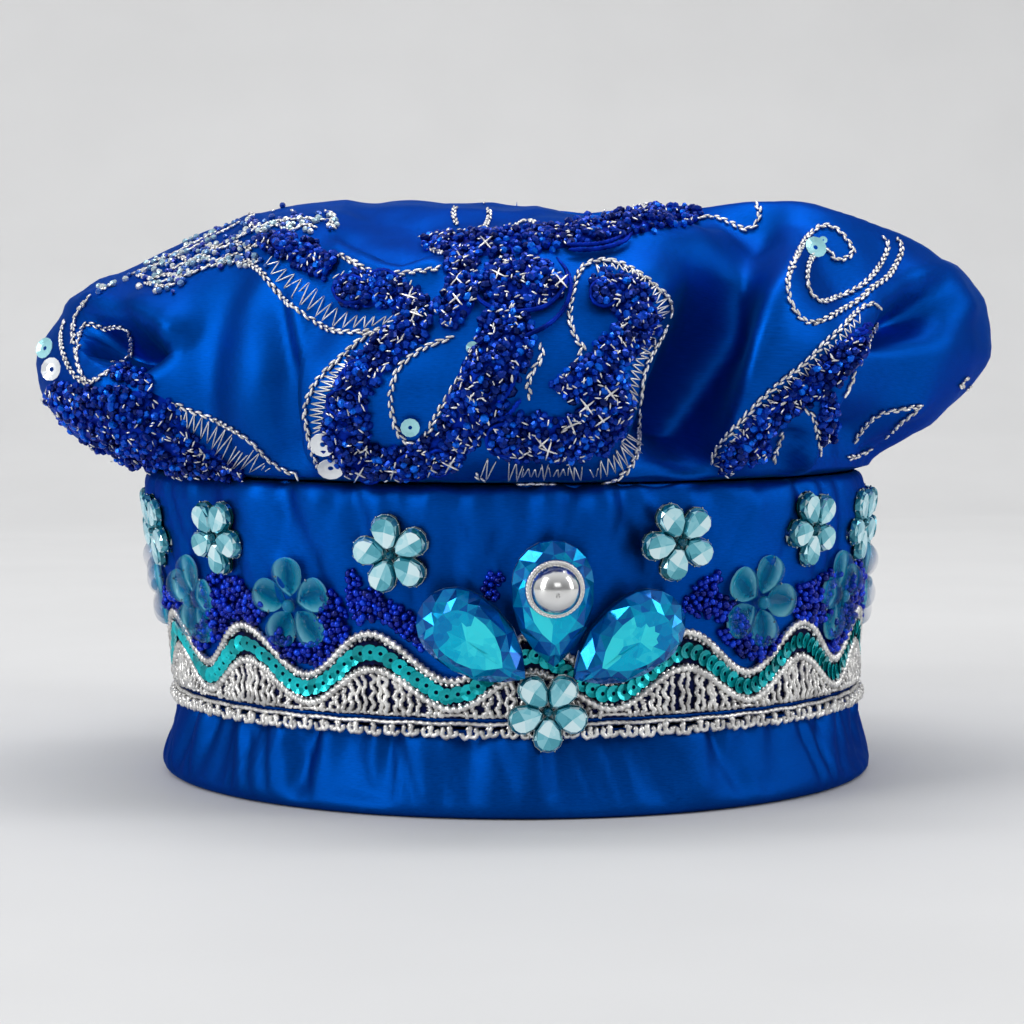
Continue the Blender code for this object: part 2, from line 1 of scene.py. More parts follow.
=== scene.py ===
"""Decorated satin cap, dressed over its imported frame.

The puffed crown, the padded band and the gathered hem are satin. A wave trim of cords, sequins and
bullion runs round the band, with stone flowers and a fan of pear stones over it. Bead clumps and
stitched scrolls lie on the crown. +Z is up, the ornament faces -Y, and an azimuth is 0 at the front
and grows towards +X. Sizes are in millimetres and angles in degrees until MM turns them into metres.
"""

import math

from collections import namedtuple

import bmesh
import bpy
import numpy as np
from mathutils import Matrix, Vector, noise
from mathutils.bvhtree import BVHTree


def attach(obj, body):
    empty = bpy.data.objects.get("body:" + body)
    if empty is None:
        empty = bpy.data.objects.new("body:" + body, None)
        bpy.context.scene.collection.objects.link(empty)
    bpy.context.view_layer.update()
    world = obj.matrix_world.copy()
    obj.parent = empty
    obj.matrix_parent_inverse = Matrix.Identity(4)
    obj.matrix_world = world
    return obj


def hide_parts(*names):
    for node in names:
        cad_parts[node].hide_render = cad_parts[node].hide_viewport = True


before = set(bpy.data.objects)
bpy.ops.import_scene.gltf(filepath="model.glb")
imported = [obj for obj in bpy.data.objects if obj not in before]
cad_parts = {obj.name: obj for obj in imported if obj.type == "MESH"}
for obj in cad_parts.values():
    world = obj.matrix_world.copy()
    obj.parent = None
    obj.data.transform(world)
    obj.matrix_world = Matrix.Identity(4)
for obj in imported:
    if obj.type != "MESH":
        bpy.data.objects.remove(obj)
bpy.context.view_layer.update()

bl_info = {
    "name": "Decorated satin cap",
    "version": (1, 0, 0),
    "blender": (4, 5, 0),
    "location": "3D View > Sidebar > Cap",
    "description": "Builds a puffed satin cap with a beaded wave trim, stone flowers and stitched scrolls",
    "category": "Object",
}

MM = 0.001
BODY = "root"
GAP = 0.3
FULL_TURN = 2 * math.pi
PIXEL_MM = 0.27

# The band and hem, as in the frame
BAND_BOTTOM, BAND_TOP, BAND_WALL = 22.8, 85.0, 3.2
BAND_HEIGHTS = (BAND_BOTTOM, 36.0, 79.0, 83.4, BAND_TOP)
BAND_RADII = (96.0, 96.4, 102.6, 101.9, 100.2)
LEAN_HEIGHTS = (BAND_BOTTOM, 82.0, BAND_TOP, 115.0)
LEAN_OFFSETS = (0.0, -2.8, -2.8, 0.0)
HEM_PROFILE = (
    (93.0, 22.4), (96.2, 22.4), (97.6, 19.0), (99.4, 12.0), (101.0, 6.5), (101.4, 3.4),
    (100.9, 1.3), (99.6, 0.25), (97.6, 0.0), (96.0, 0.5), (95.0, 2.4), (94.2, 8.0), (93.2, 16.0),
)
BAND_PROFILE = (
    (93.0, BAND_BOTTOM), (96.0, BAND_BOTTOM), (96.1, 29.0), (96.4, 36.0), (98.6, 51.0), (100.8, 66.0),
    (102.4, 77.0), (102.7, 80.0), (102.2, 83.0), (101.0, 84.6), (99.4, 85.0), (97.6, 84.7),
    (97.2, 83.0), (98.4, 76.0), (95.2, 56.0), (93.4, 40.0),
)

# The wave trim
WAVES, WAVE_PHASE = 15, -2.4
CORD_RADIUS = 0.95
LOWER_HEIGHT, LOWER_SWING = 32.4, 4.8
UPPER_HEIGHT, UPPER_SWING = 40.7, 5.8

# Stones
PETALS = 5
Flower = namedtuple("Flower", "azimuth height turn")
FACETED_FLOWERS = (
    Flower(-74.6, 69.6, -95), Flower(-53.0, 70.0, -88), Flower(-21.6, 67.4, 101),
    Flower(20.0, 70.4, -99), Flower(46.0, 71.9, -98), Flower(64.0, 71.4, -90),
)
CABOCHON_FLOWERS = (
    Flower(-64.0, 51.6, 84), Flower(-39.3, 53.2, 93), Flower(35.2, 53.4, 71), Flower(57.4, 52.2, 98),
)
FACETED_AT_BACK, CABOCHONS_AT_BACK, BACK_TURN_STEP = 8, 9, 31
LOW_FLOWER, LOW_STANDOFF = Flower(-0.3, 27.8, -90), 2.9
Pear = namedtuple("Pear", "name azimuth height turn length half_width")
PEARS = (
    Pear("pear_stone_left", -10.2, 46.8, 142.5, 32.6, 10.1),
    Pear("pear_stone_middle", 0.9, 56.0, 91.5, 33.0, 10.5),
    Pear("pear_stone_right", 11.4, 45.9, 34.0, 33.4, 10.3),
)
PEAR_STANDOFF, PEAR_DEPTH = 2.7, 7.6
BUTTON_AZIMUTH, BUTTON_HEIGHT, BUTTON_STANDOFF = 0.9, 61.2, 10.6

# The viewpoint from which the drawing of folds and stitches is laid on the cap, in pixels of a
# square picture whose centre the view looks at
EYE_AZIMUTH, EYE_DISTANCE, EYE_HEIGHT = -4.9, 790.0, 121.0
PICTURE, FOCAL = 1024, 2760.0
AXIS_PIXEL, LEVEL_PIXEL = 517.0, 340.0

# The crown: the share of each fold's width on either side is in pixels, its depth in millimetres
CROWN_CENTRE, CROWN_JOINT, JOINT_HEIGHT = 105.0, 99.2, 85.3
CROWN_COLUMNS, CROWN_ROWS = 400, 110
Fold = namedtuple("Fold", "name width depth lip open_end line ease", defaults=(0.22,))
FOLDS = (
    Fold("left slope", 28, 4.5, 0.1, False, ((88, 288), (118, 266), (160, 245), (205, 226), (250, 214))),
    Fold("left pocket", 22, 20.0, 4.6, False, ((78, 342), (98, 328), (124, 327), (146, 341), (162, 364))),
    Fold("left crease", 13, 3.4, 2.4, True, ((274, 276), (284, 322), (291, 362), (289, 399), (292, 438), (299, 480))),
    Fold("deep valley", 27, 20.0, 5.5, True, ((772, 196), (764, 226), (748, 280), (738, 327), (723, 378),
        (705, 430), (688, 482)), 0.62),
    Fold("centre swell", 30, -2.4, 0.1, False, ((650, 244), (648, 296), (650, 352)), 0.4),
    Fold("lobe crease", 18, 13.0, -2.6, True, ((958, 284), (920, 300), (897, 318), (883, 345), (869, 385),
        (852, 425), (824, 476))),
    Fold("lobe brow", 14, -2.4, 0.1, False, ((905, 292), (948, 276), (980, 322))),
    Fold("lobe edge", 16, -1.8, 0.1, False, ((992, 337), (976, 368), (944, 396), (905, 430))),
    Fold("leaf swell", 26, -3.4, 0.1, False, ((806, 226), (790, 290), (776, 350), (756, 410))),
    Fold("top crest", 14, 3.4, -3.0, False, ((330, 226), (366, 250), (400, 256), (446, 240))),
    Fold("top back", 12, 2.2, 1.8, False, ((330, 206), (420, 216), (520, 206), (640, 204))),
    Fold("top sink", 40, 2.2, 0.1, False, ((346, 200), (400, 192), (460, 188), (540, 190))),
    Fold("right gather", 12, 3.6, 2.0, True, ((800, 430), (790, 452), (778, 482))),
)

# The stitched drawing on the crown, seen from the viewpoint. A trail is a mass of beads along a
# line of (x, y, half width); chains, laces and padded cords are lines of (x, y).
TRAILS = {
    "left_scroll": (
        ((424, 316, 17), (405, 334, 17), (384, 352, 16), (365, 372, 17), (352, 392, 18), (349, 414, 21),
         (347, 436, 23), (357, 455, 20), (384, 463, 15), (414, 460, 17), (440, 451, 18), (463, 446, 16)),
    ),
    "right_scroll": (
        ((592, 289, 9), (610, 288, 17), (630, 300, 19), (640, 318, 18), (633, 336, 18), (614, 350, 18),
         (600, 366, 17), (580, 382, 17), (560, 396, 14)),
        ((612, 372, 12), (610, 392, 20), (606, 412, 24), (592, 430, 25), (568, 438, 23), (540, 436, 22),
         (515, 436, 22), (494, 430, 20)),
    ),
    "centre_plume": (
        ((480, 285, 12), (498, 284, 22), (522, 284, 26), (546, 286, 22), (562, 288, 10)),
        ((507, 312, 20), (505, 338, 29), (496, 360, 29), (487, 384, 27), (476, 405, 25), (464, 424, 23),
            (452, 440, 18)),
    ),
    "shoulder_band": (
        ((424, 245, 5), (450, 242, 9), (478, 244, 13), (505, 243, 13), (537, 240, 12), (566, 238, 11),
         (594, 229, 12), (625, 225, 13), (657, 219, 12), (684, 217, 9), (700, 218, 5)),
        ((462, 254, 15), (462, 280, 17), (458, 304, 17), (440, 320, 16)),
        ((262, 241, 7), (285, 248, 12), (310, 257, 15), (333, 270, 14)),
        ((340, 288, 14), (362, 291, 18), (388, 290, 17), (410, 303, 17), (424, 316, 14)),
    ),
    "right_spray": (
        ((724, 470, 5), (736, 453, 10), (750, 437, 12), (766, 420, 12), (786, 403, 13), (808, 390, 15),
         (830, 372, 15), (848, 354, 12), (862, 338, 7)),
        ((744, 458, 8), (758, 449, 10), (770, 448, 7)),
        ((826, 394, 9), (829, 412, 8), (828, 430, 7), (826, 442, 5)),
    ),
    "left_spray": (
        ((52, 392, 10), (72, 404, 20), (94, 414, 28), (118, 422, 36), (142, 430, 42), (164, 444, 33),
         (188, 456, 20), (215, 466, 11), (243, 475, 5)),
        ((112, 372, 6), (134, 376, 8), (152, 388, 6)),
    ),
}
BACK_TRAILS = ("left_scroll", "right_scroll", "centre_plume")
CHAINS = (
    ((250, 264), (262, 273), (275, 289), (298, 311), (318, 324), (332, 331), (348, 333), (372, 332), (394, 328)),
    ((338, 254), (352, 262), (372, 272), (395, 274), (420, 272), (440, 269)),
    ((391, 329), (366, 337), (343, 356), (326, 372), (313, 388), (306, 410), (308, 428), (312, 448), (320, 470)),
    ((454, 338), (430, 346), (410, 358), (398, 370), (392, 388), (391, 404), (395, 424), (402, 437), (412, 443),
     (425, 436), (434, 420), (443, 404), (456, 384), (468, 362), (476, 343)),
    ((541, 344), (541, 358), (532, 372), (528, 386), (531, 400)),
    ((584, 350), (575, 338), (570, 320), (571, 300), (576, 280), (585, 266), (602, 261), (620, 264), (640, 275),
     (655, 287), (667, 298), (670, 313), (662, 334), (650, 356), (643, 374), (640, 396), (638, 420), (637, 448),
     (630, 466), (618, 477), (600, 482), (570, 483), (530, 482), (500, 484), (484, 480), (474, 472)),
    ((582, 350), (577, 362), (566, 374), (552, 388)),
    ((456, 226), (454, 212), (462, 202), (474, 200), (486, 205), (489, 218), (484, 231)),
    ((512, 233), (518, 225), (528, 222), (540, 226), (548, 231)),
    ((424, 246), (436, 252), (448, 256)),
    ((699, 219), (714, 218), (731, 224), (745, 230), (756, 225), (760, 212), (755, 204)),
    ((897, 239), (901, 251), (895, 266), (887, 278), (873, 288), (860, 300), (843, 310), (826, 319), (811, 323),
     (799, 317), (789, 300), (788, 278), (797, 256), (806, 239), (821, 227), (834, 229), (845, 239), (852, 253),
     (841, 261), (833, 258), (827, 251), (811, 258), (806, 275), (809, 292), (821, 302), (836, 298), (855, 290),
     (870, 278), (882, 261), (887, 246), (881, 235)),
    ((711, 464), (722, 444), (738, 425), (755, 405), (772, 388), (790, 374), (806, 361), (825, 343), (843, 327),
     (860, 310), (875, 305), (878, 317), (870, 337), (862, 356), (853, 376), (843, 398)),
    ((783, 430), (777, 447), (772, 464)),
    ((806, 408), (814, 418), (818, 435), (820, 454)),
    ((853, 442), (865, 425), (880, 413), (899, 409), (919, 406), (912, 413), (899, 423), (880, 442), (862, 453),
        (845, 459)),
    ((974, 382), (966, 388), (960, 384), (968, 376)),
    ((172, 402), (190, 410), (208, 416), (230, 427), (246, 437), (258, 447), (268, 458), (282, 468), (300, 476)),
    ((92, 296), (80, 310), (74, 326), (74, 346)),
    ((80, 330), (90, 324), (104, 328), (118, 326), (128, 330), (132, 342), (129, 356), (116, 368), (100, 378),
     (88, 382), (80, 368), (77, 350), (80, 332)),
    ((66, 320), (62, 338), (66, 358), (76, 376), (88, 384)),
    ((262, 262), (240, 262), (214, 266), (186, 276), (160, 284)),
    ((302, 214), (280, 212), (256, 216), (236, 226), (214, 238), (192, 250), (168, 262), (146, 270), (122, 280),
        (98, 294)),
    ((330, 222), (306, 220), (282, 222), (260, 228), (238, 238), (214, 250), (190, 262), (170, 272)),
    ((286, 206), (262, 212), (240, 220), (218, 232), (196, 244), (172, 256), (150, 264), (126, 274)),
)
SHORT_CHAINS = (
    ((180, 258), (192, 262), (204, 258), (218, 262), (232, 256), (246, 258)),
    ((206, 246), (220, 250), (236, 244), (252, 248), (264, 242)),
    ((248, 224), (262, 230), (276, 226), (290, 232), (304, 226), (316, 230)),
    ((326, 212), (334, 218), (330, 226), (338, 230)),
    ((138, 276), (152, 280), (168, 276), (182, 280)),
    ((146, 284), (162, 288), (178, 284)),
)
LACES = (
    (((262, 262), (278, 284), (300, 307), (330, 327), (352, 330), (394, 325)), ((274, 256), (296, 276), (320, 292),
        (346, 312), (368, 318), (400, 315)), 2.6),
    (((592, 264), (620, 266), (646, 279), (666, 300), (665, 316), (652, 346), (641, 374), (636, 410), (634, 448),
        (624, 468), (600, 478)),
     ((600, 279), (620, 272), (640, 286), (654, 306), (654, 318), (642, 338), (630, 366), (628, 404), (622, 434),
         (614, 452), (598, 461)), 1.9),
    (((600, 480), (560, 480), (520, 480), (494, 482), (480, 476)), ((596, 464), (560, 463), (524, 462), (496, 458),
        (486, 456)), 1.9),
    (((388, 333), (345, 359), (320, 384), (311, 408), (314, 434)), ((394, 342), (356, 364), (336, 388), (327, 410),
        (327, 430)), 1.6),
    (((176, 404), (206, 417), (232, 430), (255, 446), (270, 462), (280, 470)), ((174, 424), (198, 436), (220, 456),
        (243, 468), (258, 478), (268, 480)), 2.2),
    (((713, 466), (728, 442), (742, 424), (775, 390), (808, 363), (840, 334), (858, 316)), ((722, 466), (738, 444),
        (752, 428), (784, 398), (815, 371), (846, 340), (862, 322)), 1.8),
)
CROSSES = (
    (411, 303), (417, 320), (463, 268), (458, 287), (458, 305), (499, 282), (583, 404), (569, 421), (598, 417),
    (542, 438), (433, 461), (453, 458), (361, 466), (397, 463), (548, 444), (560, 288), (606, 392), (486, 252),
)
ROSETTES = (
    (354, 293, 20), (385, 287, 19), (346, 402, 17), (360, 374, 14), (413, 461, 17), (440, 458, 17), (503, 436, 20),
    (603, 297, 17), (640, 318, 15), (372, 468, 13), (285, 246, 12), (656, 217, 11), (545, 372, 9), (736, 452, 10),
)
PADDED_CORDS = (
    ((478, 262), (472, 284), (480, 304), (500, 314), (522, 315), (546, 308), (562, 294), (566, 276), (556, 262)),
    ((568, 276), (570, 292), (564, 310), (552, 324), (536, 334), (520, 340)),
    ((568, 254), (588, 254), (608, 251), (624, 245), (631, 237)),
    ((566, 249), (588, 249), (608, 246), (622, 240)),
    ((868, 327), (858, 333), (848, 342)), ((866, 332), (857, 339), (849, 347)),
    ((831, 361), (817, 372), (804, 383)), ((827, 370), (816, 378), (806, 387)),
    ((792, 388), (779, 400), (767, 413)), ((795, 393), (783, 404), (771, 417)),
    ((519, 362), (512, 384), (500, 402)), ((520, 398), (508, 412), (494, 418)),
    ((604, 280), (622, 284), (636, 292)), ((340, 388), (344, 376), (354, 366)),
)
SEQUINS = ((410, 426, 2.4), (324, 442, 3.2), (331, 464, 3.4), (49, 350, 3.0), (55, 370, 3.2), (813, 250, 3.0),
    (822, 243, 1.1), (473, 349, 1.6))

# Bead clumps on the band, over the wave, in the same form as the crown's trails
CLUMPS = (
    ((146, 566, 4), (154, 580, 9), (164, 598, 11), (174, 616, 10)),
    ((204, 604, 9), (217, 588, 15), (232, 596, 19), (248, 608, 15), (264, 618, 8)),
    ((200, 644, 7), (211, 630, 13), (226, 614, 14)),
    ((276, 634, 7), (290, 649, 10), (310, 655, 11), (328, 648, 11), (342, 638, 9)),
    ((328, 590, 5), (332, 608, 12), (337, 632, 14)), ((322, 612, 6), (330, 628, 10), (350, 636, 10)),
    ((351, 570, 4), (355, 588, 8), (361, 604, 11), (368, 620, 12)), ((366, 588, 5), (378, 602, 9), (392, 616, 10)),
    ((384, 616, 10), (400, 618, 11), (412, 630, 10), (426, 646, 6)), ((497, 572, 5), (493, 583, 8), (489, 598, 7)),
    ((718, 574, 4), (709, 585, 8), (698, 598, 11), (688, 614, 9)), ((702, 602, 11), (718, 608, 12), (734, 616, 10),
        (744, 628, 7)),
    ((722, 628, 7), (740, 642, 11), (760, 650, 12), (778, 646, 11), (794, 634, 9)),
    ((834, 572, 6), (824, 586, 12), (812, 602, 16), (798, 620, 12)), ((800, 584, 6), (808, 600, 10), (822, 618, 11)),
    ((848, 604, 7), (842, 622, 9), (848, 640, 6)),
)
LINK_STEP, LINK_WIDTH, CROSS_REACH = 1.35, 0.56, 9.5
WRINKLE_SEED, BEAD_SEED, TRIM_SEED = 11, 23, 37


class CapSettings(bpy.types.PropertyGroup):
    """Sizes and colours that a user would change."""

    satin_colour: bpy.props.FloatVectorProperty(
        name="Satin", description="Colour of the satin", subtype="COLOR",
        size=4, min=0, max=1, default=(0.0, 0.077, 0.45, 1),
    )
    bead_colour: bpy.props.FloatVectorProperty(
        name="Beads", description="Lighter colour of the seed beads", subtype="COLOR",
        size=4, min=0, max=1, default=(0.0, 0.044, 0.47, 1),
    )
    sequin_colour: bpy.props.FloatVectorProperty(
        name="Sequins", description="Colour of the trim's sequins", subtype="COLOR",
        size=4, min=0, max=1, default=(0.0, 0.42, 0.46, 1),
    )
    bead_size: bpy.props.FloatProperty(
        name="Bead size", description="Middle diameter of a seed bead on the crown",
        unit="LENGTH", default=0.0021, min=0.001, max=0.004,
    )
    cloth_wall: bpy.props.FloatProperty(
        name="Cloth wall", description="Thickness of the crown's satin and lining",
        unit="LENGTH", default=0.0014, min=0.0005, max=0.003,
    )
    wrinkle_depth: bpy.props.FloatProperty(
        name="Wrinkle depth", description="Depth of the band's and hem's gathers",
        unit="LENGTH", default=0.0019, min=0.0, max=0.003,
    )


# ---------------------------------------------------------------- places on the cap


def lean(height):
    return np.interp(height, LEAN_HEIGHTS, LEAN_OFFSETS)


def band_radius(height):
    return np.interp(height, BAND_HEIGHTS, BAND_RADII)


def place(azimuth, radius, height):
    """Points in millimetres at azimuths, radii and heights, with the cap's lean."""
    turn = np.radians(azimuth)
    x = radius * np.sin(turn) + lean(height)
    return np.stack(np.broadcast_arrays(x, -radius * np.cos(turn), height), axis=-1)


def wave(azimuth):
    return np.cos(np.radians(WAVES * (azimuth - WAVE_PHASE)))


def lower_cord(azimuth):
    return LOWER_HEIGHT + LOWER_SWING * wave(azimuth)


def upper_cord(azimuth):
    return UPPER_HEIGHT + UPPER_SWING * wave(azimuth)


def seat(azimuth, height, turn, standoff):
    """The matrix, in millimetres, that sets a flat-backed thing on the band, its Z outwards."""
    spin = math.radians(azimuth)
    sideways = Vector((math.cos(spin), math.sin(spin), 0))
    above, below = Vector(on_band(azimuth, height + 1)), Vector(on_band(azimuth, height - 1))
    outward = sideways.cross(above - below).normalized()
    upward = outward.cross(sideways)
    axes = Matrix((sideways, upward, outward)).transposed().to_4x4()
    origin = Vector(on_band(azimuth, height)) + outward * standoff
    return Matrix.Translation(origin) @ axes @ Matrix.Rotation(math.radians(turn), 4, "Z")


def smoothstep(value):
    value = np.clip(value, 0, 1)
    return value * value * (3 - 2 * value)


def length_along(points):
    """The length of a line from its start to each of its points."""
    return np.concatenate([[0], np.cumsum(np.linalg.norm(np.diff(points, axis=0), axis=1))])


def outwards(azimuth):
    return place(azimuth, 1.0, 0.0) - place(azimuth, 0.0, 0.0)


def on_band(azimuth, height, standoff=0.0):
    return place(azimuth, band_radius(height) + standoff, height)


def eye_axes(azimuth):
    """The viewpoint's place and its right, up and forward directions, in millimetres."""
    spin = math.radians(azimuth)
    out = Vector((math.sin(spin), -math.cos(spin), 0))
    side = Vector((math.cos(spin), math.sin(spin), 0))
    place_of_eye = out * EYE_DISTANCE + Vector((0, 0, EYE_HEIGHT))
    level = Vector((0, 0, 1))
    target = -out * FOCAL - side * (AXIS_PIXEL - PICTURE / 2) - level * (PICTURE / 2 - LEVEL_PIXEL)
    forward = target.normalized()
    right = forward.cross(level).normalized()
    return place_of_eye, right, right.cross(forward), forward


def to_pixels(points, azimuth):
    """The picture's pixel for each point, given in millimetres."""
    eye, right, up, forward = (np.array(v) for v in eye_axes(azimuth))
    away = points - eye
    depth = away @ forward
    half = PICTURE / 2
    return half + FOCAL * (away @ right) / depth, half - FOCAL * (away @ up) / depth


def sight_line(px, py, azimuth=EYE_AZIMUTH):
    """The eye's place and the direction through a pixel, in metres."""
    eye, right, up, forward = eye_axes(azimuth)
    half = PICTURE / 2
    ray = forward + right * ((px - half) / FOCAL) - up * ((py - half) / FOCAL)
    return eye * MM, ray.normalized()


# ---------------------------------------------------------------- meshes


def as_piece(name, mesh, materials, replaces=(), smooth=True):
    """Links a finished mesh as a piece that rides on the cap."""
    for each in materials:
        mesh.materials.append(each)
    if smooth:
        mesh.shade_smooth()
    item = bpy.data.objects.new(name, mesh)
    bpy.context.scene.collection.objects.link(item)
    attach(item, BODY)
    if replaces:
        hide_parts(*replaces)
    return item


def mesh_from(name, bm):
    mesh = bpy.data.meshes.new(name)
    bm.to_mesh(mesh)
    bm.free()
    return mesh


def turned_line(bm, points, steps, axis=(0, 0, 1), closed=False):
    """A line of points, turned once round an axis."""
    line = [bm.verts.new(point) for point in points]
    edges = [bm.edges.new(pair) for pair in zip(line, line[1:] + line[:1] if closed else line[1:])]
    bmesh.ops.spin(
        bm, geom=line + edges, cent=(0, 0, 0), axis=axis, angle=FULL_TURN, steps=steps, use_merge=True
    )


def points_of(mesh):
    found = np.empty(len(mesh.vertices) * 3, np.float32)
    mesh.vertices.foreach_get("co", found)
    return found.reshape(-1, 3).astype(float)


def turned_grid(name, rows, columns, shape, uv_size, closed=False):
    """A cylinder of rows and columns that shape(azimuth, row) then moves, in millimetres.

    uv_size is the cloth's size round and up, in millimetres, so that a weave keeps its scale.
    """
    bm = bmesh.new()
    turned_line(bm, [(0, -1, row) for row in range(rows)], columns)
    bm.normal_update()
    inside_out = sum(f.normal.dot(Vector((*f.calc_center_median().xy, 0))) for f in bm.faces) < 0
    if inside_out:
        bmesh.ops.reverse_faces(bm, faces=bm.faces)
    sheet = bm.loops.layers.uv.new("UVMap")
    for face in bm.faces:
        middle = face.calc_center_median()
        centre = math.atan2(middle.x, -middle.y)
        for loop in face.loops:
            own = math.atan2(loop.vert.co.x, -loop.vert.co.y)
            own += FULL_TURN * round((centre - own) / FULL_TURN)
            share_up = loop.vert.co.z / (rows - 1)
            loop[sheet].uv = (own / FULL_TURN * uv_size[0] * MM, share_up * uv_size[1] * MM)
    mesh = mesh_from(name, bm)
    found = points_of(mesh)
    azimuth = np.degrees(np.arctan2(found[:, 0], -found[:, 1]))
    moved = shape(azimuth, np.rint(found[:, 2]).astype(int))
    mesh.vertices.foreach_set("co", (moved * MM).astype(np.float32).ravel())
    bm = bmesh.new()
    bm.from_mesh(mesh)
    bmesh.ops.remove_doubles(bm, verts=bm.verts, dist=1e-6)
    if closed:
        bmesh.ops.recalc_face_normals(bm, faces=bm.faces)
    bm.to_mesh(mesh)
    bm.free()
    mesh.update()
    return mesh


def around_profile(profile, count):
    """A closed profile's points, evenly spaced along it, and each one's smoothed neighbours' mean."""
    points = np.array([*profile, profile[0]], float)
    steps = length_along(points)
    at = np.linspace(0, steps[-1], count)
    radii, heights = np.interp(at, steps, points[:, 0]), np.interp(at, steps, points[:, 1])
    for _ in range(2):
        for values in (radii, heights):
            ends = (values[-2] + 2 * values[0] + values[1]) / 4
            values[1:-1] = (values[:-2] + 2 * values[1:-1] + values[2:]) / 4
            values[0] = values[-1] = ends
    return radii, heights, steps[-1]


def copies(name, template, placed, tints, smooth):
    """One mesh of many copies of a small template: placed is (copies, vertices, 3), in metres."""
    count, own = placed.shape[:2]
    corners = np.empty(len(template.loops), np.int32)
    starts, slots = (np.empty(len(template.polygons), np.int32) for _ in range(2))
    template.loops.foreach_get("vertex_index", corners)
    template.polygons.foreach_get("loop_start", starts)
    template.polygons.foreach_get("material_index", slots)
    mesh = bpy.data.meshes.new(name)
    mesh.vertices.add(count * own)
    mesh.loops.add(count * len(corners))
    mesh.polygons.add(count * len(starts))
    index = np.arange(count, dtype=np.int32)[:, None]
    mesh.vertices.foreach_set("co", placed.astype(np.float32).ravel())
    mesh.loops.foreach_set("vertex_index", (corners[None] + index * own).ravel())
    mesh.polygons.foreach_set("loop_start", (starts[None] + index * len(corners)).ravel())
    mesh.polygons.foreach_set("material_index", np.tile(slots, count))
    mesh.polygons.foreach_set("use_smooth", np.full(count * len(starts), smooth))
    if tints is not None:
        tint = mesh.attributes.new("tint", "FLOAT", "POINT")
        tint.data.foreach_set("value", np.repeat(tints, own).astype(np.float32))
    mesh.update(calc_edges=True)
    mesh.validate()
    bpy.data.meshes.remove(template)
    return mesh


def scattered(name, template, matrices, tints):
    """Copies of a template in millimetres, one at each matrix, also in millimetres."""
    base = points_of(template)
    stack = np.array([[list(row) for row in m] for m in matrices])
    placed = np.einsum("kij,nj->kni", stack[:, :3, :3], base) + stack[:, None, :3, 3]
    return copies(name, template, placed * MM, tints, smooth=False)


def sown(name, template, matrices, tints, finish, nodes=(), smooth=False):
    """A piece of many small copies of one template."""
    return as_piece(name, scattered(name, template, matrices, tints), [finish], nodes, smooth)


def tube_template(rings, sides):
    """A capped tube of unit radius along X, with a ring at each whole number."""
    bm = bmesh.new()
    turned_line(bm, [(ring, 0, 1) for ring in range(rings)], sides, (1, 0, 0))
    bmesh.ops.holes_fill(bm, edges=[e for e in bm.edges if e.is_boundary], sides=sides)
    bmesh.ops.recalc_face_normals(bm, faces=bm.faces)
    return mesh_from("tube", bm)


def tubes(name, paths, outs, radius, sides, ridge, pitch):
    """Round threads along paths of (threads, rings, 3) in millimetres; outs are their upper sides.

    radius is one number or one for each ring. A ridge winds round the thread once each pitch.
    """
    paths, outs = np.asarray(paths, float), np.asarray(outs, float)
    count, rings = paths.shape[:2]
    template = tube_template(rings, sides)
    local = points_of(template)
    ring = np.rint(local[:, 0]).astype(int)
    along = np.gradient(paths, axis=1)
    along /= np.linalg.norm(along, axis=2, keepdims=True) + 1e-12
    side = np.cross(along, outs)
    side /= np.linalg.norm(side, axis=2, keepdims=True) + 1e-12
    up = np.cross(side, along)
    steps = np.linalg.norm(np.diff(paths, axis=1), axis=2)
    length = np.concatenate([np.zeros((count, 1)), np.cumsum(steps, axis=1)], axis=1)
    angle = np.arctan2(local[:, 2], local[:, 1])
    radii = np.broadcast_to(np.asarray(radius, float), (count, rings))[:, ring]
    winding = np.cos(FULL_TURN * length[:, ring] / pitch + angle)
    radii = radii * (1 + ridge * winding)
    placed = paths[:, ring] + radii[..., None] * (
        local[None, :, 1, None] * side[:, ring] + local[None, :, 2, None] * up[:, ring]
    )
    return copies(name, template, placed * MM, None, smooth=True)


def bead_template(around, along):
    bm = bmesh.new()
    bmesh.ops.create_uvsphere(bm, u_segments=around, v_segments=along, radius=1)
    return mesh_from("bead", bm)


# ---------------------------------------------------------------- materials


def add_node(tree, kind, inputs=None, **settings):
    """A node with its settings; inputs gives a value, or a socket to link, for each input."""
    node = tree.nodes.new(kind)
    for key, value in settings.items():
        setattr(node, key, value)
    for key, value in (inputs or {}).items():
        if isinstance(value, bpy.types.NodeSocket):
            tree.links.new(value, node.inputs[key])
        else:
            node.inputs[key].default_value = value
    return node


def new_group(name, inputs, outputs):
    """A node group with named number and vector inputs and number outputs, and its two end nodes."""
    tree = bpy.data.node_groups.new(name, "ShaderNodeTree")
    for key, (kind, value) in inputs.items():
        made = tree.interface.new_socket(key, in_out="INPUT", socket_type=kind)
        if value is not None:
            made.default_value = value
    for key in outputs:
        tree.interface.new_socket(key, in_out="OUTPUT", socket_type="NodeSocketFloat")
    return tree, tree.nodes.new("NodeGroupInput"), tree.nodes.new("NodeGroupOutput")


def sums(tree, operation, *values):
    """The result of a number node on values or sockets."""
    return add_node(tree, "ShaderNodeMath", dict(enumerate(values)), operation=operation).outputs[0]


def noise_at(tree, vector, scale, **more):
    return add_node(tree, "ShaderNodeTexNoise", {"Vector": vector, "Scale": scale, **more}).outputs["Fac"]


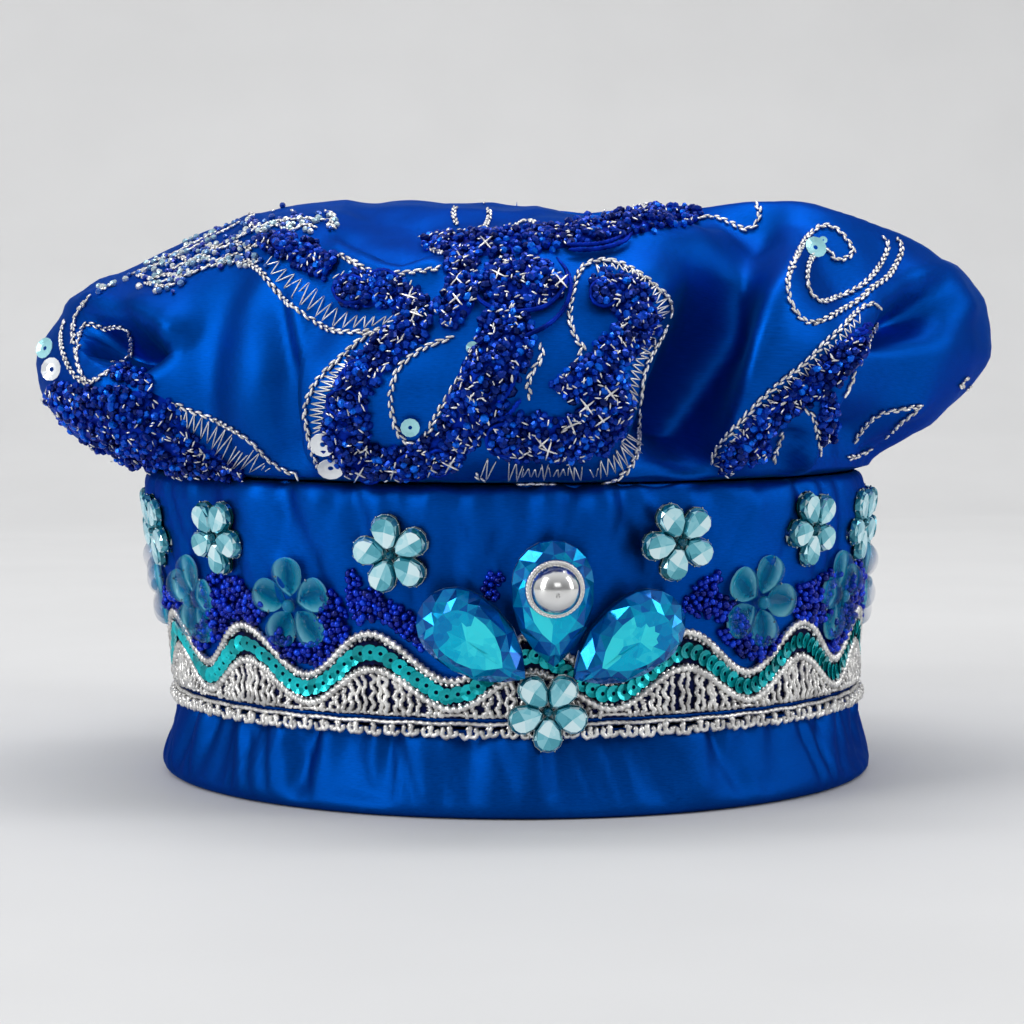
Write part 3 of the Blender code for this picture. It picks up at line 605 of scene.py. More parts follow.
def weave_group():
    """Satin: long fine floats along U over a faint thread count, and slow unevenness."""
    found = bpy.data.node_groups.get("satin_weave")
    if found:
        return found
    vector, number = "NodeSocketVector", "NodeSocketFloat"
    sockets = {"Vector": (vector, None), "Threads": (number, 2600.0), "Slub": (number, 0.3)}
    tree, start, end = new_group("satin_weave", sockets, ("Height", "Tone"))
    where, threads = start.outputs["Vector"], start.outputs["Threads"]
    wide = add_node(tree, "ShaderNodeVectorMath", {0: where, 1: (0.2, 1.0, 1.0)}, operation="MULTIPLY").outputs[0]
    floats = noise_at(tree, wide, threads, Detail=2.0, Roughness=0.6)
    crossing = add_node(
        tree, "ShaderNodeTexWave", {"Vector": where, "Scale": threads, "Distortion": 1.5}, bands_direction="X"
    )
    slub = noise_at(tree, wide, 260.0, Detail=3.0)
    slow = noise_at(tree, where, 34.0, Detail=3.0)
    fine = sums(tree, "MULTIPLY_ADD", crossing.outputs["Fac"], 0.18, floats)
    tree.links.new(sums(tree, "MULTIPLY_ADD", slub, start.outputs["Slub"], fine), end.inputs["Height"])
    tree.links.new(sums(tree, "MULTIPLY", slow, floats), end.inputs["Tone"])
    return tree


def grain_group():
    """Small unevenness of metal, glass and thread on object coordinates."""
    found = bpy.data.node_groups.get("fine_grain")
    if found:
        return found
    sockets = {"Vector": ("NodeSocketVector", None), "Scale": ("NodeSocketFloat", 900.0)}
    tree, start, end = new_group("fine_grain", sockets, ("Height", "Patches"))
    where, scale = start.outputs["Vector"], start.outputs["Scale"]
    small = noise_at(tree, where, scale, Detail=2.0)
    broad = noise_at(tree, where, sums(tree, "MULTIPLY", scale, 0.2), Detail=2.0)
    tree.links.new(small, end.inputs["Height"])
    tree.links.new(broad, end.inputs["Patches"])
    return tree


def new_material(name, **values):
    """A material whose one shader gets the given plain values."""
    made = bpy.data.materials.new(name)
    made.use_nodes = True
    tree = made.node_tree
    shader = tree.nodes["Principled BSDF"]
    for key, value in values.items():
        shader.inputs[key.replace("_", " ")].default_value = value
    return made, tree, shader


def span(tree, value, low, high):
    """A 0 to 1 value mapped to a range."""
    node = add_node(tree, "ShaderNodeMapRange", {"Value": value, "To Min": low, "To Max": high})
    return node.outputs["Result"]


def feed(tree, shader, **values):
    """Links each value to the shader's input of that name."""
    for key, value in values.items():
        tree.links.new(value, shader.inputs[key.replace("_", " ")])


def bump(tree, shader, height, strength, distance):
    node = add_node(tree, "ShaderNodeBump", {"Height": height, "Strength": strength, "Distance": distance})
    feed(tree, shader, Normal=node.outputs["Normal"])


def grained(tree, **inputs):
    """The heights and patches of a fine grain on the object's own coordinates."""
    where = add_node(tree, "ShaderNodeTexCoord").outputs["Object"]
    return add_node(tree, "ShaderNodeGroup", {"Vector": where, **inputs}, node_tree=grain_group()).outputs


def own_tint(tree):
    return add_node(tree, "ShaderNodeAttribute", attribute_name="tint").outputs["Fac"]


def made_once(build):
    """Keeps the first material of each name that a function makes."""

    def kept(name, *args, **values):
        return bpy.data.materials.get(name) or build(name, *args, **values)

    return kept


def ramp(tree, value, stops):
    """A colour for each value, through (position, colour) stops."""
    node = tree.nodes.new("ShaderNodeValToRGB")
    line = node.color_ramp.elements
    while len(line) < len(stops):
        line.new(1.0)
    for stop, (position, colour) in zip(line, stops):
        stop.position, stop.color = position, (*colour[:3], 1)
    tree.links.new(value, node.inputs["Fac"])
    return node.outputs["Color"]


@made_once
def satin(name, shade=1.0):
    """Metal-bright royal cloth: the weave follows the piece's own UV map. A shade below 1 darkens the whole colour as
    painted shade.
    """
    colour = settings_now().satin_colour
    made, tree, shader = new_material(
        name, Metallic=0.93, Specular_IOR_Level=0.3, Specular_Tint=(0.0, 0.16, 0.42, 1.0), Sheen_Weight=0.09,
        Sheen_Roughness=0.5, Sheen_Tint=(0.0, 0.34, 0.9, 1.0),
    )
    where = add_node(tree, "ShaderNodeTexCoord").outputs["UV"]
    weave = add_node(tree, "ShaderNodeGroup", {"Vector": where}, node_tree=weave_group()).outputs
    deep, full = ([c * share * shade for c in colour[:3]] for share in (0.72, 1.12))
    tone = ramp(tree, weave["Tone"], ((0.12, deep), (0.42, full)))
    feed(tree, shader, Base_Color=tone, Roughness=span(tree, weave["Height"], 0.33, 0.48))
    bump(tree, shader, weave["Height"], 0.35, 0.00012)
    return made


@made_once
def beads_finish(name, stops, **values):
    """Glass beads, a little different from bead to bead through their tint."""
    plain = {"Specular_IOR_Level": 0.6, "Coat_Weight": 0.6, "Coat_Roughness": 0.08, **values}
    made, tree, shader = new_material(name, **plain)
    rough = span(tree, grained(tree)["Patches"], 0.08, 0.34)
    feed(tree, shader, Base_Color=ramp(tree, own_tint(tree), stops), Roughness=rough)
    return made


def royal_beads():
    light = settings_now().bead_colour
    return beads_finish(
        "royal_beads",
        ((0.0, (0.0, 0.004, 0.07)), (0.4, (0.0, 0.016, 0.22)), (0.8, light), (1.0, (0.0, 0.14, 0.8))),
        Metallic=0.6, Specular_Tint=(0.06, 0.3, 1.0, 1.0), Coat_Weight=0.16,
    )


@made_once
def thread_finish(name, low, high, metallic, rough, scale=1400.0, depth=0.00012, **values):
    """Wound or stitched thread: a fine grain that catches the light."""
    made, tree, shader = new_material(name, Metallic=metallic, **values)
    grain = grained(tree, Scale=scale)
    tone = ramp(tree, grain["Patches"], ((0.35, low), (0.62, high)))
    feed(tree, shader, Base_Color=tone, Roughness=span(tree, grain["Height"], rough - 0.1, rough + 0.14))
    bump(tree, shader, grain["Height"], 0.6, depth)
    return made


def silver_thread():
    return thread_finish("silver_thread", (0.54, 0.53, 0.52), (0.96, 0.95, 0.92), 0.8, 0.3)


def blue_thread():
    dull = {"Specular_IOR_Level": 0.2, "Specular_Tint": (0.1, 0.3, 1.0, 1.0)}
    return thread_finish("blue_thread", (0.0, 0.006, 0.12), (0.002, 0.026, 0.40), 0.6, 0.4, **dull)


def navy_ground():
    low, high = (0.0005, 0.002, 0.02), (0.001, 0.006, 0.07)
    return thread_finish("navy_ground", low, high, 0.0, 0.75, 2200.0, Specular_IOR_Level=0.15)


def metal_finish(name, colour, rough):
    return thread_finish(name, [c * 0.9 for c in colour], colour, 1.0, rough, 500.0, 0.00001)


def sequin_finish():
    teal = settings_now().sequin_colour
    deep, pale = ([c * share for c in teal[:3]] for share in (0.7, 1.45))
    stops = ((0.0, deep), (0.4, teal), (1.0, pale))
    return beads_finish("teal_sequins", stops, Metallic=0.6, Specular_IOR_Level=0.3, Coat_Weight=0.25)


@made_once
def painted_glint_stone(name, stops, **values):
    """A foil-backed stone: each facet's tint paints a highlight or shade on it, and Voronoi cells paint the facets
    seen through it as painted reflections.
    """
    plain = {"Metallic": 0.45, "Specular_IOR_Level": 0.8, "Coat_Weight": 1.0, "Coat_Roughness": 0.02, **values}
    made, tree, shader = new_material(name, **plain)
    where = add_node(tree, "ShaderNodeTexCoord").outputs["Object"]
    # Painted reflections of the facets inside the stone.
    painted_inner_facets = add_node(tree, "ShaderNodeTexVoronoi", {"Vector": where, "Scale": 520.0}).outputs
    tone = ramp(tree, sums(tree, "MULTIPLY_ADD", painted_inner_facets["Color"], 0.16, own_tint(tree)), stops)
    feed(tree, shader, Base_Color=tone, Roughness=span(tree, painted_inner_facets["Distance"], 0.05, 0.14))
    return made


@made_once
def painted_rim_jelly(name):
    """The domed stones' clear teal, deep in the middle; the bright rim is painted light, standing in for light
    through the glass.
    """
    made, tree, shader = new_material(
        name, Specular_IOR_Level=0.45, Specular_Tint=(0.08, 0.5, 1.0, 1.0), Coat_Weight=0.7, Coat_Roughness=0.02
    )
    grain = grained(tree, Scale=260.0)
    mixed = sums(tree, "MULTIPLY_ADD", grain["Patches"], 0.12, own_tint(tree))
    # The pale end of these stops is the painted light of the rim.
    stops = (
        (0.05, (0.0, 0.05, 0.28)), (0.35, (0.0, 0.17, 0.42)), (0.65, (0.0, 0.43, 0.62)), (0.9, (0.28, 0.84, 0.92)),
    )
    feed(
        tree, shader, Base_Color=ramp(tree, mixed, stops), Alpha=span(tree, mixed, 0.04, 0.98),
        Roughness=span(tree, grain["Height"], 0.03, 0.08),
    )
    return made


# ---------------------------------------------------------------- cloth


def wrinkles(azimuth, drop, count, seed, reach, widths):
    """Gathers that start at a seam: drop is the distance from it in millimetres. About -1 to 1."""
    draw = np.random.default_rng(seed)
    total = np.zeros_like(azimuth, dtype=float)
    starts = (np.arange(count) + draw.uniform(-0.42, 0.42, count)) * 360 / count
    for start in starts:
        width, length = draw.uniform(*widths), draw.uniform(*reach)
        size, slant = draw.uniform(0.35, 1) * (0.4 if draw.random() < 0.4 else -1), draw.uniform(-0.35, 0.35)
        off = (azimuth - start - slant * drop * 0.57 + 180) % 360 - 180
        spread = width * (1 + drop / length)
        total += size * np.exp(-((off * 1.72 / spread) ** 2)) * np.exp(-((drop / length) ** 2))
    return total


def grooves(azimuth, height, slant, size):
    """Winding creases that lean by a slant, in degrees each millimetre: 1 along them, 0 between."""
    turn = np.radians(azimuth + slant * height)
    spots = np.stack([100 * np.sin(turn) / size, 100 * np.cos(turn) / size, height / (5 * size) + 0 * turn], axis=-1)
    depth = np.array([abs(noise.noise(Vector(spot))) for spot in spots.reshape(-1, 3)])
    return 1 - smoothstep(depth.reshape(turn.shape) / 0.24)


def build_band_cloth(settings):
    depth = settings.wrinkle_depth / MM
    rows = 110
    radii, heights, girth = around_profile(BAND_PROFILE, rows)

    def shape(azimuth, row):
        radius, height = radii[row], heights[row]
        outside = radius > np.interp(height, BAND_HEIGHTS, BAND_RADII) - BAND_WALL * 0.5
        drop = np.clip(BAND_TOP - height, 0, None)
        gather = wrinkles(azimuth, drop, 74, WRINKLE_SEED, (12, 38), (2.0, 4.8))
        rise = np.clip(height - 44, 0, None)
        pull = wrinkles(azimuth, rise, 44, WRINKLE_SEED + 1, (10, 26), (2.6, 6.5))
        slow = np.sin(np.radians(9 * azimuth + 0.8 * height)) + 0.7 * np.sin(np.radians(14 * azimuth - height + 50))
        puff = 0.5 * np.sin(np.pi * np.clip((height - 46) / 36, 0, 1))
        fade = smoothstep((height - 40) / 14)
        crease = grooves(azimuth, height, 0.16, 12) + 0.7 * grooves(azimuth + 70, height, -0.24, 15)
        move = depth * (1.65 * gather + 0.3 * pull * fade) + 0.3 * slow * fade + puff - 0.45 * depth * crease * fade
        move = np.where(outside, move, 0)
        move = np.where(height < 42, np.minimum(move, 0), move)
        return place(azimuth, radius + move, height)

    mesh = turned_grid("band_satin", rows, 400, shape, (630, girth), closed=True)
    item = as_piece("band_satin", mesh, [satin("royal_satin")], ["band"])
    return item


def build_hem_cloth(settings):
    depth = settings.wrinkle_depth / MM
    rows = 64
    radii, heights, girth = around_profile(HEM_PROFILE, rows)

    def shape(azimuth, row):
        radius, height = radii[row], heights[row]
        outside = smoothstep((radius - 95.6) / 1.6)
        drop = np.clip(22.4 - height, 0, None)
        gather = wrinkles(azimuth, drop, 88, WRINKLE_SEED + 2, (9, 30), (2.0, 4.8))
        slow = np.cos(np.radians(22 * azimuth)) + 0.5 * np.cos(np.radians(13 * azimuth + 40))
        crease = grooves(azimuth, height, 0.2, 10)
        folded = depth * (1.9 * gather - 0.6 * crease) * smoothstep(height / 7)
        move = outside * (folded + 0.4 * slow * np.clip(height / 12, 0, 1))
        return place(azimuth, radius + move, height)

    mesh = turned_grid("hem_satin", rows, 400, shape, (630, girth), closed=True)
    # The hem's satin is the same cloth made darker: painted shade.
    item = as_piece("hem_satin", mesh, [satin("painted_shade_satin", 0.72)], ["hem"])
    return item


def blurred(values, rounds):
    """A map of rows and closed columns, smoothed in both directions; its first row stays."""
    first = values[0].copy()
    for _ in range(rounds):
        values = (np.roll(values, 1, 1) + 2 * values + np.roll(values, -1, 1)) / 4
        padded = np.concatenate([values[:1], values, values[-1:]])
        values = (padded[:-2] + 2 * values + padded[2:]) / 4
    values[0] = first
    return values


def calm_apex(values):
    """Leaves only broad changes round the rows next to the apex."""
    for left in range(14):
        waves = np.fft.rfft(values[-1 - left], axis=0)
        waves[2 + left // 2 if left else 1 :] = 0
        values[-1 - left] = np.fft.irfft(waves, CROWN_COLUMNS, axis=0)
    return values


def fold_field(fold, px, py):
    """How far a fold moves each pixel's cloth outwards, and its lip right and down, in millimetres."""
    line = np.array(fold.line, float)
    nearest = np.full(px.shape, 1e9)
    side, along, to_x, to_y = (np.zeros(px.shape) for _ in range(4))
    gone = length_along(line)
    gone = gone / gone[-1]
    for k, (start, end) in enumerate(zip(line, line[1:])):
        step = end - start
        share = np.clip(((px - start[0]) * step[0] + (py - start[1]) * step[1]) / (step @ step), 0, 1)
        dx, dy = px - start[0] - share * step[0], py - start[1] - share * step[1]
        gap = np.hypot(dx, dy)
        closer = gap < nearest
        nearest = np.where(closer, gap, nearest)
        side = np.where(closer, np.sign(step[1] * dx - step[0] * dy), side)
        to_x, to_y = np.where(closer, -dx, to_x), np.where(closer, -dy, to_y)
        along = np.where(closer, gone[k] + share * (gone[k + 1] - gone[k]), along)
    taper = smoothstep(along / fold.ease + 0.1)
    if not fold.open_end:
        taper = taper * smoothstep((1 - along) / fold.ease + 0.1)
    signed = nearest * side * math.copysign(1, fold.lip)
    wide = fold.width * (np.where(signed > 0, 0.75, 1.8) if fold.depth > 0 else 1)
    valley = -fold.depth * np.exp(-((nearest / wide) ** 2))
    lip = abs(fold.lip) * np.exp(-(((signed - 1.35 * fold.width) / fold.width) ** 2))
    lean_over = (0.5 if fold.width > 18 else 0.15) * lip * taper / (nearest + 1e-6)
    return (valley + lip) * taper, to_x * lean_over, to_y * lean_over


def grid_normals(points):
    across = np.roll(points, -1, 1) - np.roll(points, 1, 1)
    up = np.gradient(points, axis=0)
    normal = np.cross(across, up)
    return normal / (np.linalg.norm(normal, axis=2, keepdims=True) + 1e-9)


def crown_surface():
    """The crown's outer points in millimetres, as rows from the joint to the apex."""
    wall = BVHTree.FromObject(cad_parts["crown"], bpy.context.evaluated_depsgraph_get())
    ring = np.arange(CROWN_COLUMNS) * 360 / CROWN_COLUMNS
    joint = place(ring, CROWN_JOINT, JOINT_HEIGHT) - np.array((0, 0, CROWN_CENTRE))
    lowest = np.degrees(np.arctan2(joint[:, 2], np.hypot(joint[:, 0], joint[:, 1])))
    reach = np.zeros((CROWN_ROWS, CROWN_COLUMNS))
    directions = np.zeros((CROWN_ROWS, CROWN_COLUMNS, 3))
    centre = Vector((0, 0, CROWN_CENTRE)) * MM
    for column in range(CROWN_COLUMNS):
        turn = math.atan2(joint[column, 0], -joint[column, 1])
        for row in range(CROWN_ROWS):
            share = row / (CROWN_ROWS - 1)
            rise = math.radians(lowest[column] + (90 - lowest[column]) * share)
            way = Vector((math.sin(turn) * math.cos(rise), -math.cos(turn) * math.cos(rise), math.sin(rise)))
            directions[row, column] = way
            hit = wall.ray_cast(centre + way * 0.3, -way)[0]
            reach[row, column] = (hit - centre).length / MM if hit else 0
        reach[0, column] = np.linalg.norm(joint[column])
    reach[-1] = reach[-1].mean()
    reach = calm_apex(blurred(reach, 9))
    return directions * reach[..., None] + np.array((0, 0, CROWN_CENTRE))


def fold_crown(points):
    """The crown with its folds, on the front as drawn and again, turned, on the back."""
    rows = np.arange(CROWN_ROWS)[:, None]
    azimuth = np.degrees(np.arctan2(points[..., 0], -points[..., 1]))
    from_joint = points[..., 2] - JOINT_HEIGHT
    loose = smoothstep(rows / 5)
    for turn, share in ((EYE_AZIMUTH, 1.0), (EYE_AZIMUTH + 180, 0.8)):
        normal = grid_normals(points)
        eye, right, up, _ = (np.array(v) for v in eye_axes(turn))
        towards = (eye - points) / np.linalg.norm(eye - points, axis=2, keepdims=True)
        facing = smoothstep((np.sum(normal * towards, axis=2) + 0.4) / 0.45)
        px, py = to_pixels(points, turn)
        fields = zip(*(fold_field(fold, px, py) for fold in FOLDS))
        out, across, down = (sum(parts)[..., None] for parts in fields)
        points = points + (normal * out + right * across - up * down) * (facing * share * loose)[..., None]
    normal = grid_normals(points)
    gather = wrinkles(azimuth, np.clip(from_joint, 0, None), 72, WRINKLE_SEED + 3, (7, 24), (1.6, 4.2))
    move = 1.5 * gather * smoothstep(rows / 3)
    drift = np.array([
        [noise.noise(Vector((p[0] / 26, p[1] / 26, p[2] / 44))) + 0.5 * noise.noise(Vector(p) / 11) for p in row]
        for row in points
    ])
    move = move + 0.9 * drift * loose
    return calm_apex(points + normal * move[..., None])


def build_crown_cloth(settings):
    points = fold_crown(crown_surface())

    def shape(azimuth, row):
        column = np.rint((azimuth % 360) / 360 * CROWN_COLUMNS).astype(int) % CROWN_COLUMNS
        return points[row, column]

    mesh = turned_grid("crown_satin", CROWN_ROWS, CROWN_COLUMNS, shape, (760, 210))
    item = as_piece("crown_satin", mesh, [satin("royal_satin")], ["crown"])
    wall = item.modifiers.new("cloth", "SOLIDIFY")
    wall.thickness, wall.offset = settings.cloth_wall, -1
    return item


# ---------------------------------------------------------------- trim


def trim_cord(name, centre_height, node):
    rings = 1700
    azimuth = np.linspace(0, 360, rings)
    height = centre_height(azimuth)
    middle = on_band(azimuth, height, GAP + CORD_RADIUS)
    mesh = tubes(name, middle[None], outwards(azimuth)[None], CORD_RADIUS, 8, ridge=0.3, pitch=1.8)
    return as_piece(name, mesh, [silver_thread()], [node])


def build_trim_cords():
    trim_cord("upper_cord_wound", upper_cord, "trim_upper_cord")
    trim_cord("lower_cord_wound", lower_cord, "trim_lower_cord")


def wave_steps(height_of, step):
    """Azimuths whose points along a height curve on the band lie a given step apart."""
    fine = np.linspace(0, 360, 7201)
    length = length_along(on_band(fine, height_of(fine)))
    count = int(round(length[-1] / step))
    return np.interp(np.arange(count) * length[-1] / count, length, fine)


def slope_at(height_of, azimuth):
    """The angle at which a height curve climbs along the band at an azimuth."""
    here, ahead = height_of(azimuth), height_of(azimuth + 0.2)
    run = math.radians(0.2) * float(band_radius(here))
    return math.degrees(math.atan2(float(ahead - here), run))


def sequin_template(radius, hole, cup):
    """A thin cupped disc with a hole, twelve-sided."""
    bm = bmesh.new()
    profile = (
        (hole, 0.0), (radius * 0.55, 0.04), (radius, cup), (radius * 0.98, cup + 0.12), (radius * 0.5, 0.16),
        (hole, 0.12),
    )
    turned_line(bm, [(r, 0, z) for r, z in profile], 12, closed=True)
    bmesh.ops.recalc_face_normals(bm, faces=bm.faces)
    return mesh_from("sequin", bm)


def middle_wave(azimuth):
    return (lower_cord(azimuth) + upper_cord(azimuth)) / 2


def build_trim_sequins():
    draw = np.random.default_rng(TRIM_SEED)

    def shape(azimuth, row):
        low, high = 25.2, upper_cord(azimuth) + 0.4
        share = np.array((0, 0, 0.5, 1, 1, 0.5))[row % 6]
        deep = np.array((0.0, 0.55, 0.55, 0.55, 0.0, 0.0))[row % 6]
        height = low + (high - low) * share
        return on_band(azimuth, height, 0.25 + deep)

    ground = turned_grid("trim_ground", 7, 450, shape, (600, 14), closed=True)
    as_piece("trim_ground", ground, [navy_ground()])
    matrices = []
    for azimuth in wave_steps(middle_wave, 2.85):
        climb = slope_at(middle_wave, azimuth)
        lift = Matrix.Rotation(math.radians(draw.uniform(9, 14)), 4, "Y")
        roll = Matrix.Rotation(math.radians(draw.uniform(-7, 7)), 4, "X")
        height = float(middle_wave(azimuth)) + draw.uniform(-0.3, 0.3)
        matrices.append(seat(azimuth, height, climb, 1.35) @ lift @ roll)
    template = sequin_template(2.2, 0.55, 0.3)
    mesh = scattered("sequins", template, matrices, draw.uniform(0, 1, len(matrices)))
    as_piece("trim_sequins", mesh, [sequin_finish()], ["trim_sequin_row"], smooth=False)
    matrices = []
    for offset in (-1, 1):
        line = lambda azimuth: middle_wave(azimuth) + offset * (3.05 + 0.5 * wave(azimuth))
        for azimuth in wave_steps(line, 1.45):
            size = 0.55 + 0.12 * draw.random()
            matrices.append(seat(azimuth, float(line(azimuth)), 0, 1.15) @ Matrix.Scale(size, 4))
    tints = np.where(draw.random(len(matrices)) < 0.42, 0.05, draw.uniform(0.6, 1, len(matrices)))
    mesh = scattered("line_beads", bead_template(6, 4), matrices, tints)
    stops = ((0.0, (0.01, 0.01, 0.03)), (0.4, (0.02, 0.03, 0.1)), (0.6, (0.6, 0.6, 0.62)), (1.0, (0.9, 0.9, 0.9)))
    as_piece("trim_line_beads", mesh, [beads_finish("line_beads", stops, Metallic=0.8)], smooth=False)


def build_trim_bullion():
    draw = np.random.default_rng(TRIM_SEED + 1)
    paths, outs = [], []
    low, share = 25.8, np.linspace(0, 1, 21)
    for azimuth in wave_steps(lambda a: 0 * a + 28.0, 2.05):
        azimuth += draw.uniform(-0.3, 0.3)
        top = float(lower_cord(azimuth)) - 1.0
        if top - low < 1.2:
            continue
        height = low + (top - low) * share
        turns = (top - low) / draw.uniform(3.0, 4.6)
        swing = draw.uniform(0.25, 0.6) * np.sin(FULL_TURN * (turns * share + draw.random()))
        along = azimuth + np.degrees(swing / 96) + draw.uniform(-0.35, 0.35) * share
        paths.append(on_band(along, height, 1.15 + 0.25 * draw.random() + 0.3 * np.sin(6 * share)))
        outs.append(outwards(along))
    mesh = tubes("trim_bullion", paths, outs, draw.uniform(0.58, 0.78, (len(paths), 1)), 6, ridge=0.3, pitch=1.5)
    as_piece("trim_bullion", mesh, [silver_thread()], ["trim_bullion_fill"])


def build_trim_edging():
    draw = np.random.default_rng(TRIM_SEED + 2)
    azimuth = np.linspace(0, 360, 1100)
    for name, height, radius, nodes in (
        ("edging_cord_low", 23.9, 0.6, ["trim_edging"]), ("edging_cord_high", 26.1, 0.5, ())
    ):
        line = height + 0.12 * np.sin(np.radians(azimuth * 47))
        middle = on_band(azimuth, line, 0.35 + radius)
        mesh = tubes(name, middle[None], outwards(azimuth)[None], radius, 6, ridge=0.25, pitch=2.0)
        as_piece(name, mesh, [silver_thread()], nodes)
    paths, outs = [], []
    share = np.linspace(0, 1, 12)
    for azimuth in wave_steps(lambda a: 0 * a + 23.5, 5.0):
        for side in (-1, 1):
            turn = np.radians(90 + side * (20 + draw.uniform(250, 330) * share))
            reach = draw.uniform(1.05, 1.35) * (1 - 0.35 * share)
            across = side * 1.0 + draw.uniform(-0.2, 0.2) + reach * np.cos(turn)
            height = 22.0 + draw.uniform(-0.3, 0.3) + 1.15 * reach * np.sin(turn)
            along = azimuth + np.degrees(across / 97)
            paths.append(on_band(along, height, 1.9 + 0.5 * share))
            outs.append(outwards(along))
    mesh = tubes("edging_picots", paths, outs, draw.uniform(0.6, 0.78, (len(paths), 1)), 6, ridge=0.2, pitch=1.4)
    as_piece("edging_picots", mesh, [silver_thread()], smooth=True)


# ---------------------------------------------------------------- stones


def pear_outline(length, half_width, points):
    """A pear along +X with its tip at -X, centred between its ends."""
    belly = 0.66 * length
    outline = []
    for turn in (FULL_TURN * k / points for k in range(points)):
        if math.cos(turn) >= 0:
            x = belly + (length - belly) * math.cos(turn)
            y = half_width * math.sin(turn)
        else:
            share = abs(math.cos(turn)) ** 1.15
            x = belly * (1 - share)
            y = math.copysign(half_width * (1 - share**2.8), math.sin(turn))
        outline.append((x - length / 2, y))
    return outline


Level = namedtuple("Level", "scale height stagger")


def grown_body(bm, outline, centre, levels, slot, low_peak=None, high_peak=None, smooth=False):
    """A closed body grown level by level from a flat outline, pointed at either end if wanted."""
    known = set(bm.faces)

    def shaped(verts, level):
        for k, vert in enumerate(verts):
            x, y = outline[k]
            scale = level.scale * (1 + (level.stagger if k % 2 else -level.stagger))
            rise = 0.25 * level.stagger * (1 if k % 2 else -1) * -4
            vert.co = (centre + (x - centre) * scale, y * scale, level.height + rise)

    face = bm.faces.new([bm.verts.new((x, y, 0)) for x, y in outline])
    shaped(list(face.verts), levels[0])
    made = bmesh.ops.extrude_face_region(bm, geom=[face])["geom"]
    top = next(f for f in made if isinstance(f, bmesh.types.BMFace))
    rim = matched(list(face.verts), top)
    shaped(rim, levels[1])
    for level in levels[2:]:
        top = bmesh.ops.extrude_discrete_faces(bm, faces=[top])["faces"][0]
        rim = matched(rim, top)
        shaped(rim, level)
    for end, peak in ((face, low_peak), (top, high_peak)):
        if peak is not None:
            bmesh.ops.poke(bm, faces=[end])["verts"][0].co = (centre, 0, peak)
    own = [f for f in bm.faces if f not in known]
    if not smooth:
        bmesh.ops.triangulate(bm, faces=[f for f in own if len(f.verts) == 4])
        own = [f for f in bm.faces if f not in known]
    bmesh.ops.recalc_face_normals(bm, faces=own)
    for f in own:
        f.material_index, f.smooth = slot, smooth
    return own


def matched(before, face):
    """The vertices of an extruded face, in the order of those that they were raised from."""
    return [min(face.verts, key=lambda v: (v.co - old.co).length) for old in before]


def cut_stone(bm, length, half_width, centre, depth, points, table, rim, draw, star=()):
    """A cut stone with its table, in a thin metal cup; each facet gets a tint of its own, which paints light on it:
    painted highlights and shade on the table sectors, painted shade on the lower facets.
    """
    outline = [(x + centre, y) for x, y in pear_outline(length, half_width, points)]
    girdle = depth * 0.34
    keel = centre + 0.06 * length
    tints = bm.faces.layers.float.get("tint") or bm.faces.layers.float.new("tint")
    stone = grown_body(
        bm, outline, keel,
        (
            Level(0.96, 0.2, 0.0), Level(0.985, girdle, 0.0), Level(0.98, girdle * 1.15, 0.0),
            Level(0.5 + table / 2, depth * 0.74, 0.05), Level(table, depth * 0.95, 0.0), *star,
        ),
        0, high_peak=depth,
    )
    sectors = points // 3 if star else 4
    # Painted highlights and shade: each table sector gets its own brightness.
    painted_facet_light = [draw.permutation(np.linspace(low, 0.98, sectors)) for low in (0.4, 0.6 if star else 0.4)]
    start = draw.uniform(0, FULL_TURN)
    for face in stone:
        middle = face.calc_center_median()
        level = middle.z / depth
        turn = (math.atan2(middle.y, middle.x - keel) + start) % FULL_TURN / FULL_TURN
        if level > 0.945:
            inner = int(level > 0.985)
            face[tints] = painted_facet_light[inner][int(turn * sectors + inner * 0.5) % sectors]
            continue
        # Painted shade: the lower the facet, the darker its tint.
        low, high = (0.0, 0.2) if level < 0.4 else (0.0, 0.5) if level < 0.7 else (0.1, 0.6 if star else 0.95)
        face[tints] = draw.uniform(low, high)
    cup = (Level(rim, 0.0, 0.0), Level(rim + 0.01, girdle * 0.98, 0.0), Level(0.97, girdle, 0.0))
    grown_body(bm, outline, keel, cup, 1)


def dome_stone(bm, length, half_width, centre, depth):
    """A smooth dome whose tint grows from its middle to its rim and its outer end, as painted light at the rim."""
    outline = [(x + centre, y) for x, y in pear_outline(length, half_width, 20)]
    tints = bm.verts.layers.float.get("tint") or bm.verts.layers.float.new("tint")
    steps = [math.radians(t) for t in (12, 30, 48, 64, 78)]
    dome = [Level(math.cos(t), 0.9 + (depth - 0.9) * math.sin(t), 0.0) for t in steps]
    foot = (Level(0.9, 0.1, 0.0), Level(0.99, 0.5, 0.0), Level(1.0, 0.95, 0.0))
    made = grown_body(
        bm, outline, centre + 0.08 * length, (*foot, *dome), 0, low_peak=0.1, high_peak=depth, smooth=True
    )
    for vert in {v for face in made for v in face.verts}:
        outer = (vert.co.x - centre) / length + 0.5
        low = max(0.0, 1 - vert.co.z / depth)
        # Painted light: the tint rises low on the dome and towards its outer end.
        vert[tints] = min(1.0, 1.1 * low**2.6 + 0.25 * outer**3) if vert.co.z > 0.3 else 0.0


def claw(bm, x, y, height, turn, size, slot):
    """A small bent prong over a stone's edge."""
    made = bmesh.ops.create_uvsphere(bm, u_segments=6, v_segments=4, radius=size)["verts"]
    bmesh.ops.scale(bm, vec=(1.5, 0.8, 0.9), verts=made)
    bmesh.ops.rotate(bm, cent=(0, 0, 0), matrix=Matrix.Rotation(math.radians(turn), 3, "Z"), verts=made)
    bmesh.ops.translate(bm, vec=(x, y, height), verts=made)
    for face in {f for v in made for f in v.link_faces}:
        face.material_index, face.smooth = slot, True


